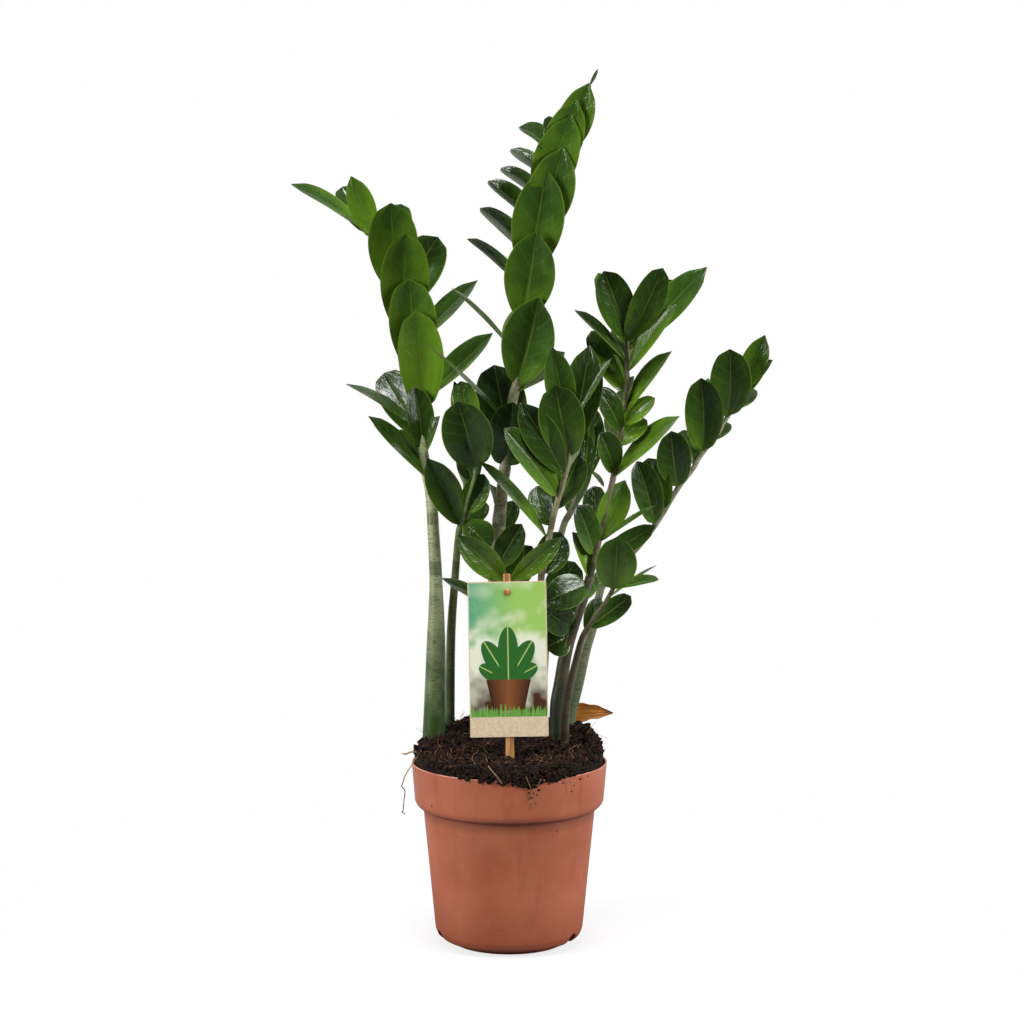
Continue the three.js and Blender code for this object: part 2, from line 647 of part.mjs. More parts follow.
function soilBody() {
  const below = INNER_WALL.slice(1).reverse();
  const inside = below.map(([radius, height]) => [Math.max(radius - SOIL_GAP, 0), height + SOIL_GAP]);
  const top = [SOIL_RADIUS, SOIL_RADIUS - 3, SOIL_RADIUS - 11, 60, 47, 33, 18, 0];
  const overTheRim = top.map((radius) => [radius, POT_HEIGHT + 1]);
  const geometry = turned([...inside, [SOIL_RADIUS, POT_HEIGHT], ...overTheRim], SOIL_SIDES);
  const place = geometry.attributes.position;
  for (let i = 0; i < place.count; i++) {
    if (place.getZ(i) > POT_HEIGHT + 0.5) place.setZ(i, soilTop(place.getX(i), place.getY(i)));
  }
  return solid(geometry);
}

function soilSolid() {
  const stems = Object.values(FRONDS).map(({ stem }) => bentBar(stemLine(stem), GAP));
  const stick = solid(stickBar(GAP).applyMatrix4(label.matrixWorld));
  return [...stems, stick, sheathSolid(GAP)].reduce((soil, tool) => soil.subtract(tool), soilBody());
}

// ---- The plant -------------------------------------------------------------------------------------------

addPiece("pot", potSolid(), "#ac6854", 0.55);
addPiece("soil", soilSolid(), "#2a1e17", 0.95);
for (const [name, frond] of Object.entries(FRONDS)) addPiece(name, frondSolid(frond), "#3d6423", 0.3);
addPiece("dry_leaf", sheathSolid(), "#a8642a", 0.7);
addPiece("label_card", cardSolid(), "#e6d6ba", 0.45, label);
addPiece("label_stick", stickSolid(), "#d2a468", 0.6, label);

export default plant;
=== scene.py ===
"""Looks of a potted ZZ plant: leaflets, stalks, soil, pot and plant label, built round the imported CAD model.

Metres, +Z up. The front, with the label, faces -Y. Sizes are written in millimetres times MM.
"""
import math
import random

import bmesh
import bpy
from mathutils import Matrix, Vector, noise


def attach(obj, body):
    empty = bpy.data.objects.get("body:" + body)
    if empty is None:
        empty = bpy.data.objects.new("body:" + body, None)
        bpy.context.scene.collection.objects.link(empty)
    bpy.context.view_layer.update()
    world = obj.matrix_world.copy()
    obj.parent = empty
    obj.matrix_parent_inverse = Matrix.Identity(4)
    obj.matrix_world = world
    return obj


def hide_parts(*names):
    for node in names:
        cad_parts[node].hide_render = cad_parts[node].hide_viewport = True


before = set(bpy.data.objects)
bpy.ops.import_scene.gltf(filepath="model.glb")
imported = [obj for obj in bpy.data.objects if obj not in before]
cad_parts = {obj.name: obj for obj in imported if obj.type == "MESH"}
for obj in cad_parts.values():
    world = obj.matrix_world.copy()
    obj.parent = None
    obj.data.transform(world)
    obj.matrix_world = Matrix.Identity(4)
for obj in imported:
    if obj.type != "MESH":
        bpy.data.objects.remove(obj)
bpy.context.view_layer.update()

MM = 0.001

# ---- Driving sizes, the same as the CAD model's ----

POT_HEIGHT = 160
RIM_RADIUS = 85.4
BAND_RADIUS = 82.8
BAND_FOOT = 128
STEP_HEIGHT = 118.5
BODY_TOP_RADIUS = 75
BODY_FOOT_RADIUS = 65.2
BODY_FOOT = 18
FOOT_RADIUS = 50
FOOT_DEPTH = 4.5
WALL = 1.6
NOTCH_ANGLES = [85, 200, 330]  # degrees from +X, seen from above
NOTCH_WIDTH = 13
NOTCH_TOP = 14
NOTCH_INNER_RADIUS = 56

SOIL_LIFT = 14.5
SOIL_SLOPE = 0.16
SOIL_DOME = 4
SOIL_SHOULDER = 12
SOIL_RADIUS = 82.6
SOIL_LUMP = 1.6

BURIED = 28  # length of stalk below the soil's surface

CARD_WIDTH = 67
CARD_HEIGHT = 133.6
CARD_THICKNESS = 0.8
CARD_LIFT = 23
STICK_WIDTH = 8
STICK_THICKNESS = 2.4
STICK_TOP = 164.5
PEG_RADIUS = 1.7
PEG_HEIGHT = 147.6
PEG_STAND_OUT = 1.6
PEG_HEAD_RADIUS = 3.1
GAP = 0.35
LABEL_TILT = math.radians(-1)
LABEL_ENTRY = (510, 763)
LABEL_DEPTH = -45

# ---- The front view ----
# Places are given by where they appear in the front view, a square of 1024 pixels, at a depth along Y in
# millimetres.

IMAGE = 1024
SENSOR = 36
FOCAL_PIXELS = 2317
PITCH = math.radians(5.2)
EYE = Vector((2.6, -2000, 560)) * MM
FORWARD = Vector((0, math.cos(PITCH), -math.sin(PITCH)))
UPWARD = Vector((0, math.sin(PITCH), math.cos(PITCH)))
TOWARDS_EYE = Vector((0, -1, 0))


def seen(pixel, depth):
    """The point at this depth that appears at this pixel."""
    ray = FORWARD + UPWARD * ((IMAGE / 2 - pixel[1]) / FOCAL_PIXELS)
    ray.x += (pixel[0] - IMAGE / 2) / FOCAL_PIXELS
    return EYE + ray * ((depth * MM - EYE.y) / ray.y)


def row_of(point):
    """The row of the front view in which this point appears."""
    from_eye = point - EYE
    return IMAGE / 2 - FOCAL_PIXELS * from_eye.dot(UPWARD) / from_eye.dot(FORWARD)


# Each frond has two lists. One is its stalk from the soil upwards, as (column, row, depth, width in mm). The
# other is its leaflets, as (row of the root on the stalk, tip's pixel, how far the tip lies behind the root,
# width in mm, roll about its own length in degrees, brightness of its green from 0 to 1, shape). That
# brightness is partly the leaflet's own green and partly painted light and shade: leaflets in shade get a
# darker green.
ACUTE = 0  # tapers to its tip
BROAD = 1  # broad round shoulders with a short tip
FRONDS = {
    "frond_left_tall": (
        [(434, 737, 15, 20.5), (436, 650, 17, 17), (436, 585, 20, 11.5), (433.5, 533, 24, 10.5),
         (431, 496, 28, 10), (426, 468, 32, 9), (422, 440, 36, 8), (423, 412, 41, 7),
         (415, 375, 48, 6), (408, 345, 54, 5.5), (400, 312, 61, 5), (391, 280, 69, 4.5),
         (379, 250, 77, 4), (366, 230, 83, 3.6)],
        [(412, (416, 311), -12, 40, 6, 0.82, BROAD), (372, (409, 279), -16, 42, 4, 0.58, BROAD),
         (335, (406, 234), -30, 43, 8, 0.68, BROAD), (290, (391, 203), -28, 44, 6, 0.62, BROAD),
         (265, (401, 204), 18, 34, -19, 0.35, BROAD), (240, (351, 176), -14, 24, 0, 0.7, ACUTE),
         (234, (342, 187), 20, 30, 20, 0.25, BROAD), (231, (291, 184), -10, 25, 60, 0.45, ACUTE),
         (308, (438, 237), 4, 42, -5, 0.22, BROAD), (350, (478, 280), 10, 27, -50, 0.35, ACUTE),
         (402, (493, 333), 10, 28, -45, 0.4, ACUTE), (432, (346, 384), 15, 27, 74, 0.35, ACUTE),
         (437, (384, 373), 40, 35, 3, 0.15, BROAD), (450, (414, 387), -1, 25, 18, 0.15, BROAD),
         (478, (368, 416), -10, 30, 66, 0.3, ACUTE), (462, (391, 431), 20, 22, 30, 0.3, ACUTE),
         (458, (440, 416), -8, 26, -62, 0.25, ACUTE), (385, (420, 318), 38, 36, 180, 0.4, BROAD),
         (325, (410, 256), 40, 36, 180, 0.4, BROAD)],
    ),
    "frond_left_thin": (
        [(450, 720, 45, 8.5), (451, 637, 36, 8), (454.5, 585, 26, 7), (459, 533, 12, 6.2),
         (464, 520, 5, 4.6), (469, 497, -4, 4), (473, 484, -9, 3.8), (476, 466, -15, 3.6),
         (470, 435, -22, 3.4)],
        [(527, (427, 458), -30, 29, 10, 0.4, ACUTE), (468, (457, 401), -28, 43, 0, 0.2, BROAD),
         (452, (454, 381), 0, 18, 34, 0.6, ACUTE), (438, (461, 381), 2, 24, 1, 0.5, BROAD),
         (484, (463, 458), 14, 20, 14, 0.1, ACUTE), (501, (478, 461), 2, 24, -64, 0.5, ACUTE),
         (514, (484, 474), -10, 23, -3, 0.4, BROAD), (522, (491, 548), -10, 28, -25, 0.3, ACUTE),
         (530, (484, 500), 12, 28, -20, 0.3, BROAD), (492, (468, 425), 34, 24, 180, 0.3, ACUTE)],
    ),
    "frond_centre_tall": (
        [(490, 731, 25, 17), (493, 640, 20, 15), (497, 552, 14, 13), (501, 501, 9, 10.8),
         (506, 460, 5, 9.6), (510, 425, 2, 9.4), (513, 398, -1, 9), (517, 380, -3, 7),
         (520, 340, -8, 6.4), (524, 300, -13, 5.8), (530, 250, -20, 5.2), (541, 205, -26, 4.8),
         (553, 165, -31, 4.4), (566, 130, -34, 4), (580, 103, -35, 3.6), (590, 85, -35, 3)],
        [(388, (539, 297), -30, 46, -10, 0.32, ACUTE), (324, (537, 231), -30, 44, -10, 0.42, ACUTE),
         (282, (546, 168), -28, 44, 0, 0.46, ACUTE), (246, (564, 147), -24, 40, 2, 0.52, ACUTE),
         (214, (572, 115), -24, 37, 2, 0.62, ACUTE), (190, (577, 99), -22, 33, 2, 0.66, ACUTE),
         (166, (589, 83), -20, 30, 4, 0.7, ACUTE), (88, (598, 69), 0, 3, 0, 0.1, ACUTE),
         (160, (549, 116), 8, 17, 14, 0.2, BROAD), (158, (519, 127), 0, 32, 58, 0.3, BROAD),
         (177, (511, 149), 16, 23, 52, 0.25, BROAD), (197, (501, 168), 16, 23, 52, 0.22, BROAD),
         (222, (488, 181), 16, 26, 50, 0.22, BROAD), (257, (480, 208), 12, 27, 54, 0.22, BROAD),
         (290, (467, 239), 8, 25, 66, 0.22, BROAD), (355, (451, 288), -12, 22, 90, 0.4, ACUTE),
         (424, (427, 344), -34, 22, 94, 0.8, ACUTE), (392, (565, 352), 10, 32, -46, 0.32, ACUTE),
         (467, (513, 402), -26, 40, 0, 0.15, BROAD), (452, (494, 365), 4, 44, 1, 0.05, BROAD),
         (570, (522, 524), -22, 24, -10, 0.12, BROAD), (520, (490, 484), 14, 20, 59, 0.25, ACUTE),
         (540, (516, 500), 14, 20, -15, 0.2, ACUTE), (590, (514, 528), 12, 30, 0, 0.1, BROAD),
         (600, (532, 546), 14, 28, -8, 0.12, BROAD), (366, (530, 300), 34, 36, 180, 0.4, ACUTE),
         (300, (536, 235), 32, 34, 180, 0.4, ACUTE), (235, (550, 170), 28, 32, 180, 0.4, ACUTE)],
    ),
    "frond_centre": (
        [(536, 735, 12, 7.5), (538, 650, 2, 7), (541, 580, -8, 6), (544, 567, -11, 5.6),
         (550, 533, -18, 5.2), (557, 503, -24, 4.8), (564, 480, -28, 4.4), (568.5, 461, -31, 4.2),
         (569, 440, -34, 4), (565, 424, -36, 3.6)],
        [(458, (555, 385), -22, 39, 0, 0.28, BROAD), (499, (504, 428), -32, 25, 30, 0.46, BROAD),
         (540, (479, 461), -18, 24, 67, 0.45, ACUTE), (428, (552, 347), -24, 26, 6, 0.4, ACUTE),
         (450, (590, 345), -2, 34, 0, 0.15, ACUTE), (528, (537, 486), 22, 23, -6, 0.3, BROAD),
         (488, (543, 440), 12, 22, 30, 0.25, ACUTE), (575, (560, 532), -6, 29, -3, 0.06, BROAD),
         (476, (520, 402), -24, 30, 1, 0.12, ACUTE), (434, (612, 358), -10, 20, -66, 0.5, ACUTE),
         (512, (580, 452), 16, 28, -8, 0.1, ACUTE), (468, (570, 400), 30, 24, 180, 0.3, ACUTE)],
    ),
    "frond_right_centre": (
        [(556.5, 745, 0, 12.5), (557, 706, 0, 12.5), (561, 683, 0, 12.5), (564.4, 660, 0, 11.5),
         (571, 635, 1, 9.5), (579.4, 612, 3, 8), (586, 591, 5, 7.4), (590.7, 572, 6, 7),
         (599.3, 536, 9, 6.2), (607.9, 500, 12, 5.6), (612.7, 480, 14, 5.2), (616.5, 456, 16, 4.8),
         (621.3, 433, 18, 4.6), (624, 413, 20, 4.4), (626, 383, 23, 4), (627.6, 335, 28, 3.6)],
        [(338, (604, 271), -22, 32, 4, 0.28, BROAD), (347, (598, 273), 14, 27, 27, 0.5, BROAD),
         (340, (663, 268), -24, 28, -1, 0.3, BROAD), (346, (678, 281), 12, 30, -12, 0.12, BROAD),
         (352, (707, 267), 10, 29, -24, 0.48, ACUTE), (372, (677, 304), -20, 22, -50, 0.62, ACUTE),
         (395, (591, 331), 14, 30, 24, 0.46, BROAD), (362, (574, 310), -8, 22, 64, 0.3, ACUTE),
         (388, (613, 354), -16, 12, 74, 0.4, ACUTE), (418, (672, 351), -4, 29, -66, 0.74, ACUTE),
         (426, (655, 398), -14, 17, -28, 0.84, BROAD), (444, (647, 420), -4, 21, -30, 0.82, BROAD),
         (478, (680, 416), -18, 32, -65, 0.76, ACUTE), (405, (633, 376), 12, 16, -60, 0.4, BROAD),
         (434, (596, 386), -20, 24, 30, 0.08, ACUTE), (474, (600, 432), -18, 25, 30, 0.22, BROAD),
         (545, (625, 480), 8, 26, -3, 0.62, ACUTE), (533, (594, 486), 22, 22, -12, 0.2, BROAD),
         (554, (577, 505), -16, 27, 35, 0.22, BROAD), (578, (572, 532), -6, 26, 56, 0.84, ACUTE),
         (584, (546, 602), -22, 30, 12, 0.08, BROAD), (600, (566, 604), 10, 24, 24, 0.3, BROAD),
         (602, (598, 570), 8, 14, 48, 0.5, ACUTE), (628, (545, 610), -24, 27, 14, 0.16, BROAD),
         (634, (545, 648), -10, 27, 5, 0.1, ACUTE), (543, (656, 505), -12, 12, -76, 0.5, ACUTE),
         (562, (656, 525), 2, 19, -12, 0.22, ACUTE), (375, (628, 305), 34, 28, 180, 0.3, ACUTE),
         (452, (622, 388), 30, 26, 180, 0.3, ACUTE)],
    ),
    "frond_right": (
        [(565.5, 733, 28, 12), (570, 712, 28, 12), (578, 680, 29, 11.5), (585, 650, 30, 10.4),
         (592, 628, 31, 9), (598, 600, 33, 7), (604, 583, 35, 6), (617, 566, 37, 5.6),
         (636, 549, 40, 5.4), (657, 522, 45, 5), (678, 488, 52, 4.6), (692, 470, 56, 4.4),
         (701, 455, 59, 4.2), (717.6, 434, 63, 4), (725, 421, 66, 3.8), (749, 382, 74, 3.4)],
        [(453, (701, 378), -24, 34, 0, 0.35, BROAD), (419, (730, 349), -24, 37, 0, 0.32, BROAD),
         (402, (765, 335), -14, 24, -6, 0.6, ACUTE), (388, (773, 360), -20, 17, -50, 0.45, ACUTE),
         (487, (671, 431), -22, 31, 5, 0.15, BROAD), (465, (683, 430), 14, 22, 21, 0.25, BROAD),
         (412, (753, 388), 14, 22, -34, 0.35, BROAD), (440, (727, 422), 12, 18, -32, 0.3, BROAD),
         (524, (637, 461), -16, 27, 13, 0.16, BROAD), (513, (648, 458), 4, 29, -4, 0.4, BROAD),
         (445, (708, 378), 30, 28, 180, 0.4, ACUTE)],
    ),
    "frond_rear": (
        [(541, 733, 40, 8), (545, 650, 42, 7.5), (550, 595, 45, 6.6), (562, 531, 52, 6),
         (571.6, 510, 55, 5.6), (587, 476, 60, 5.2), (591, 464, 62, 5), (594, 451, 64, 5.4)],
        [(516, (588, 455), 14, 26, -35, 0.12, ACUTE), (484, (590, 402), 6, 30, 0, 0.12, ACUTE),
         (455, (593, 421), -8, 9, -50, 0.4, ACUTE), (470, (604, 487), -2, 9, -62, 0.4, ACUTE),
         (604, (575, 562), 6, 32, 0, 0.08, BROAD)],
    ),
    "frond_low_right": (
        [(564.5, 748, -13, 7.5), (565.5, 715, -15, 7), (569, 690, -17, 6.5), (573.5, 670, -19, 6),
         (578.5, 650, -22, 5.4), (583, 636, -25, 5), (590.6, 624, -28, 4.4), (599, 611, -32, 4),
         (605, 603, -35, 3.8), (613, 589, -41, 3.6)],
        [(590, (617, 537), -18, 35, 0, 0.38, BROAD), (589, (659, 580), -14, 16, -66, 0.4, BROAD),
         (598, (657, 565), 20, 10, -80, 0.3, ACUTE), (628, (631, 596), 6, 19, -6, 0.1, BROAD),
         (632, (600, 597), 14, 16, -14, 0.1, ACUTE)],
    ),
    "frond_front_low": (
        [(506, 738, 8, 6.4), (506, 700, -4, 6), (506, 650, -15, 5.4), (507, 615, -22, 5),
         (508, 582, -28, 4.4)],
        [(584, (457, 535), -30, 25, 2, 0.5, ACUTE), (584, (562, 537), -30, 19, 0, 0.62, ACUTE),
         (615, (441, 578), 0, 20, 66, 0.15, ACUTE)],
    ),
}

# The dry sheath on the soil. It starts at its base, and its tip lies this far behind the base.
SHEATH_BASE = (556, 717)
SHEATH_TIP = (613, 713)
SHEATH_DEPTH = 44
SHEATH_BEHIND = -6
SHEATH_WIDTH = 16
SHEATH_RISE = 2.5  # millimetres that its middle is bowed up
SHEATH_ROLL = -12

# ---- Small helpers ----


def linear(colour):
    """An sRGB hex colour as linear red, green, blue and alpha."""
    values = [int(colour[i : i + 2], 16) / 255 for i in (1, 3, 5)]
    return [v / 12.92 if v <= 0.04045 else ((v + 0.055) / 1.055) ** 2.4 for v in values] + [1]


def fill(node, inputs):
    """Gives inputs, by name or in their order, a number, a hex colour or another node's output."""
    for place, value in inputs.items() if isinstance(inputs, dict) else enumerate(inputs):
        if isinstance(value, bpy.types.NodeSocket):
            node.id_data.links.new(value, node.inputs[place])
        else:
            is_colour = isinstance(value, str) and value.startswith("#")
            node.inputs[place].default_value = linear(value) if is_colour else value


def add(tree, kind, inputs=(), out=0, **settings):
    """Adds a node with its settings and inputs, and returns one output. "ShaderNode" is left off its kind."""
    node = tree.nodes.new(kind if "Node" in kind else "ShaderNode" + kind)
    for name, value in settings.items():
        setattr(node, name, value)
    fill(node, inputs)
    return node.outputs[out]


def every(size):
    """The scale of a pattern whose marks are this many millimetres apart."""
    return 1 / (size * MM)


def smooth_step(low, high, value):
    """From 0 at the low value to 1 at the high one, with soft ends."""
    share = min(max((value - low) / (high - low), 0), 1)
    return share * share * (3 - 2 * share)


def mix(a, b, share):
    """The value, or the place, at this share of the way from a to b."""
    return a + (b - a) * share


def turns(count):
    """This many angles, evenly spaced round a circle."""
    return [math.tau * i / count for i in range(count)]


def around(radius, angle, height=0):
    """The point at this radius, angle and height about the Z axis."""
    return Vector((radius * math.cos(angle), radius * math.sin(angle), height))


def smooth_line(places, radii, steps):
    """A list of (point, radius) on a smooth curve through the places, with this many steps between two."""
    line = []
    for i in range(len(places) - 1):
        before, start, end = places[max(i - 1, 0)], places[i], places[i + 1]
        after = places[min(i + 2, len(places) - 1)]
        for step in range(steps):
            t = step / steps
            bend = (end - before) * t + (2 * before - 5 * start + 4 * end - after) * t**2
            bend += (3 * start - before - 3 * end + after) * t**3
            line.append((start + bend / 2, mix(radii[i], radii[i + 1], t)))
    line.append((places[-1], radii[-1]))
    return line


def band(bm, lower, upper, closed=True):
    """Faces between two rings of vertices, or between two open rows."""
    count = len(lower)
    for i in range(count if closed else count - 1):
        j = (i + 1) % count
        bm.faces.new((lower[i], lower[j], upper[j], upper[i]))


def tube(rings, tip=None):
    """A bmesh tube through rings of points, with a flat start, and a flat end or one that closes in a tip."""
    bm = bmesh.new()
    rings = [[bm.verts.new(point) for point in ring] for ring in rings]
    for lower, upper in zip(rings, rings[1:]):
        band(bm, lower, upper)
    bm.faces.new(rings[0][::-1])
    if tip is None:
        bm.faces.new(rings[-1])
        return bm
    top = bm.verts.new(tip)
    for i, vert in enumerate(rings[-1]):
        bm.faces.new((vert, rings[-1][(i + 1) % len(rings[-1])], top))
    return bm


def mesh_from(bm, name, smooth=True, outward=True):
    """A finished mesh from a bmesh. If it is closed, its faces are made to point outward."""
    if outward:
        bmesh.ops.recalc_face_normals(bm, faces=bm.faces)
    for face in bm.faces:
        face.smooth = smooth
    mesh = bpy.data.meshes.new(name)
    bm.to_mesh(mesh)
    bm.free()
    return mesh


def linked(name, data):
    """An object in the scene that shows this mesh, light or camera."""
    piece = bpy.data.objects.new(name, data)
    bpy.context.scene.collection.objects.link(piece)
    return piece


def piece_from(bm, name, material=None, smooth=True):
    """A piece of its own from a bmesh, in this material."""
    mesh = mesh_from(bm, name, smooth)
    if material:
        mesh.materials.append(material)
    return linked(name, mesh)


def part_of_plant(piece, slot, *nodes):
    """The piece moves with the plant and stands for these CAD nodes. The slot is not used."""
    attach(piece, "root")
    if nodes:
        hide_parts(*nodes)
    return piece


# ---- Geometry node trees ----


def new_tree(name, **inputs):
    """A tree with these inputs, after those for its geometry and its material, and what its inputs give."""
    tree = bpy.data.node_groups.new(name, "GeometryNodeTree")
    tree.interface.new_socket("Geometry", in_out="OUTPUT", socket_type="NodeSocketGeometry")
    for label, kind in {"Geometry": "Geometry", "Material": "Material", **inputs}.items():
        tree.interface.new_socket(label, in_out="INPUT", socket_type="NodeSocket" + kind)
    return tree, tree.nodes.new("NodeGroupInput").outputs


def end_tree(tree, geometry, given):
    """Ends a tree with Realize Instances and Set Material."""
    real = add(tree, "GeometryNodeRealizeInstances", (geometry,))
    done = add(tree, "GeometryNodeSetMaterial", {"Geometry": real, "Material": given["Material"]})
    fill(tree.nodes.new("NodeGroupOutput"), (done,))
    return tree


def end_with_pieces(tree, given, placing):
    """Puts one piece of the given collection on each point, and ends the tree."""
    shapes = {"Collection": given["Pieces"], "Separate Children": True, "Reset Children": True}
    forms = add(tree, "GeometryNodeCollectionInfo", shapes)
    placing = {"Instance": forms, "Pick Instance": True, **placing}
    return end_tree(tree, add(tree, "GeometryNodeInstanceOnPoints", placing), given)


def swept_tree():
    """A round bar along each line of the carrier, as thick as its "radius" says, with a fine relief."""
    tree, given = new_tree("round bar along a line", Sides="Int", Relief="Float", Grain="Float")
    line = add(tree, "GeometryNodeMeshToCurve", {"Mesh": given["Geometry"]})
    ring = add(tree, "GeometryNodeCurvePrimitiveCircle", {"Resolution": given["Sides"], "Radius": 1})
    radius = add(tree, "GeometryNodeInputNamedAttribute", {"Name": "radius"})
    sweep = {"Curve": line, "Profile Curve": ring, "Scale": radius, "Fill Caps": True}
    bar = add(tree, "GeometryNodeCurveToMesh", sweep)
    lumps = add(tree, "TexNoise", {"Scale": given["Grain"], "Detail": 2})
    centred = add(tree, "Math", (lumps, 0.5), operation="SUBTRACT")
    height = add(tree, "Math", (centred, given["Relief"]), operation="MULTIPLY")
    normal = add(tree, "GeometryNodeInputNormal")
    shift = add(tree, "VectorMath", {0: normal, "Scale": height}, operation="SCALE")
    return end_tree(tree, add(tree, "GeometryNodeSetPosition", {"Geometry": bar, "Offset": shift}), given)


def leaflets_tree():
    """A leaflet on each point of the carrier, which holds its axis, its upper side, its size and its form."""
    tree, given = new_tree("leaflets on their roots", Pieces="Collection")
    held = []
    for name in ("axis", "upper", "size"):
        held.append(add(tree, "GeometryNodeInputNamedAttribute", {"Name": name}, data_type="FLOAT_VECTOR"))
    axis, upper, size = held
    form = add(tree, "GeometryNodeInputNamedAttribute", {"Name": "form"}, data_type="INT")
    axes = {"Primary Axis": axis, "Secondary Axis": upper}
    turn = add(tree, "FunctionNodeAxesToRotation", axes, primary_axis="Y", secondary_axis="Z")
    placing = {"Points": given["Geometry"], "Instance Index": form, "Rotation": turn, "Scale": size}
    return end_with_pieces(tree, given, placing)


def strewn_tree():
    """Small pieces strewn over the carrier's faces, each turned about the surface's normal and tumbled."""
    numbers = {name: "Float" for name in ("Density", "Smallest", "Largest", "Lift", "Tumble")}
    tree, given = new_tree("pieces strewn on a surface", Pieces="Collection", **numbers, Seed="Int")
    spread = {"Mesh": given["Geometry"], "Density": given["Density"], "Seed": given["Seed"]}
    points = add(tree, "GeometryNodeDistributePointsOnFaces", spread).node.outputs
    up = add(tree, "VectorMath", {0: points["Normal"], "Scale": given["Lift"]}, operation="SCALE")
    lifted = add(tree, "GeometryNodeSetPosition", {"Geometry": points["Points"], "Offset": up})
    either_way = {"Min": -1, "Max": 1, "Seed": given["Seed"]}
    tilt = add(tree, "FunctionNodeRandomValue", either_way, 1, data_type="FLOAT")
    lean = add(tree, "Math", (tilt, given["Tumble"]), operation="MULTIPLY")
    spin = add(tree, "FunctionNodeRandomValue", {"Min": 0, "Max": math.tau}, 1, data_type="FLOAT")
    euler = add(tree, "CombineXYZ", (lean, lean, spin))
    turned = add(tree, "FunctionNodeEulerToRotation", {"Euler": euler})
    joined = {"Rotation": points["Rotation"], "Rotate By": turned}
    turn = add(tree, "FunctionNodeRotateRotation", joined, rotation_space="LOCAL")
    extent = {"Min": given["Smallest"], "Max": given["Largest"], "Seed": 7}
    size = add(tree, "FunctionNodeRandomValue", extent, 1, data_type="FLOAT")
    return end_with_pieces(tree, given, {"Points": lifted, "Rotation": turn, "Scale": size})


def grown(name, carrier_mesh, tree, values):
    """Runs a tree on a carrier mesh, and returns the result as a piece with a plain mesh."""
    carrier = linked(name + "_carrier", carrier_mesh)
    modifier = carrier.modifiers.new("grow", "NODES")
    modifier.node_group = tree
    for socket in tree.interface.items_tree:
        if socket.in_out == "INPUT" and socket.name in values:
            modifier[socket.identifier] = values[socket.name]
    graph = bpy.context.evaluated_depsgraph_get()
    mesh = bpy.data.meshes.new_from_object(carrier.evaluated_get(graph), depsgraph=graph)
    mesh.name = name
    carrier.modifiers.remove(modifier)
    bpy.data.objects.remove(carrier)
    return linked(name, mesh)


def kept_in(collection_name, meshes):
    """A collection, outside the scene, that holds one object for each mesh."""
    collection = bpy.data.collections.new(collection_name)
    for number, mesh in enumerate(meshes):
        collection.objects.link(bpy.data.objects.new(f"{collection_name}_{number:02d}", mesh))
    return collection


SWEPT = swept_tree()
LEAFLETS = leaflets_tree()
STREWN = strewn_tree()


def swept(name, line, material, sides=12, relief=0.0, grain=every(10)):
    """A round bar along a line, which is a list of (point, radius)."""
    mesh = bpy.data.meshes.new(name + "_line")
    mesh.from_pydata([point for point, radius in line], [(i, i + 1) for i in range(len(line) - 1)], [])
    radii = [radius for point, radius in line]
    mesh.attributes.new("radius", "FLOAT", "POINT").data.foreach_set("value", radii)
    values = {"Sides": sides, "Relief": relief, "Grain": grain, "Material": material}
    return grown(name, mesh, SWEPT, values)


# ---- Materials ----


def new_material(name):
    """A material with its tree and its surface shader."""
    material = bpy.data.materials.new(name)
    material.use_nodes = True
    return material, material.node_tree, material.node_tree.nodes["Principled BSDF"]


def washed(tree, colour, washes):
    """Lays tints over a colour, each as strongly as its ranges say, multiplied together.

    A range is (pattern, from, to, strength at from, strength at to). Without strengths it goes from 0 to 1.
    """
    for tint, *ranges in washes:
        strength = 1
        for numbers in ranges:
            ranged = add(tree, "MapRange", numbers)
            strength = add(tree, "Math", (strength, ranged), operation="MULTIPLY")
        colour = add(tree, "Mix", {0: strength, 6: colour, 7: tint}, 2, data_type="RGBA")
    return colour


def leaf_relief(tree, uv, wave):
    """Shallow wrinkles, six across a leaflet and four along it, and sunken veins."""
    drawn = add(tree, "Mapping", {"Vector": uv, "Scale": (6, 4, 1)})
    wrinkle = add(tree, "TexNoise", {"Vector": drawn, "Scale": 1, "Detail": 2})
    sunken = add(tree, "MapRange", (wave, 0.72, 1, 0, -0.06))
    relief = add(tree, "Math", (wrinkle, sunken), operation="ADD")
    return add(tree, "Bump", {"Strength": 0.8, "Distance": 1.1 * MM, "Height": relief})


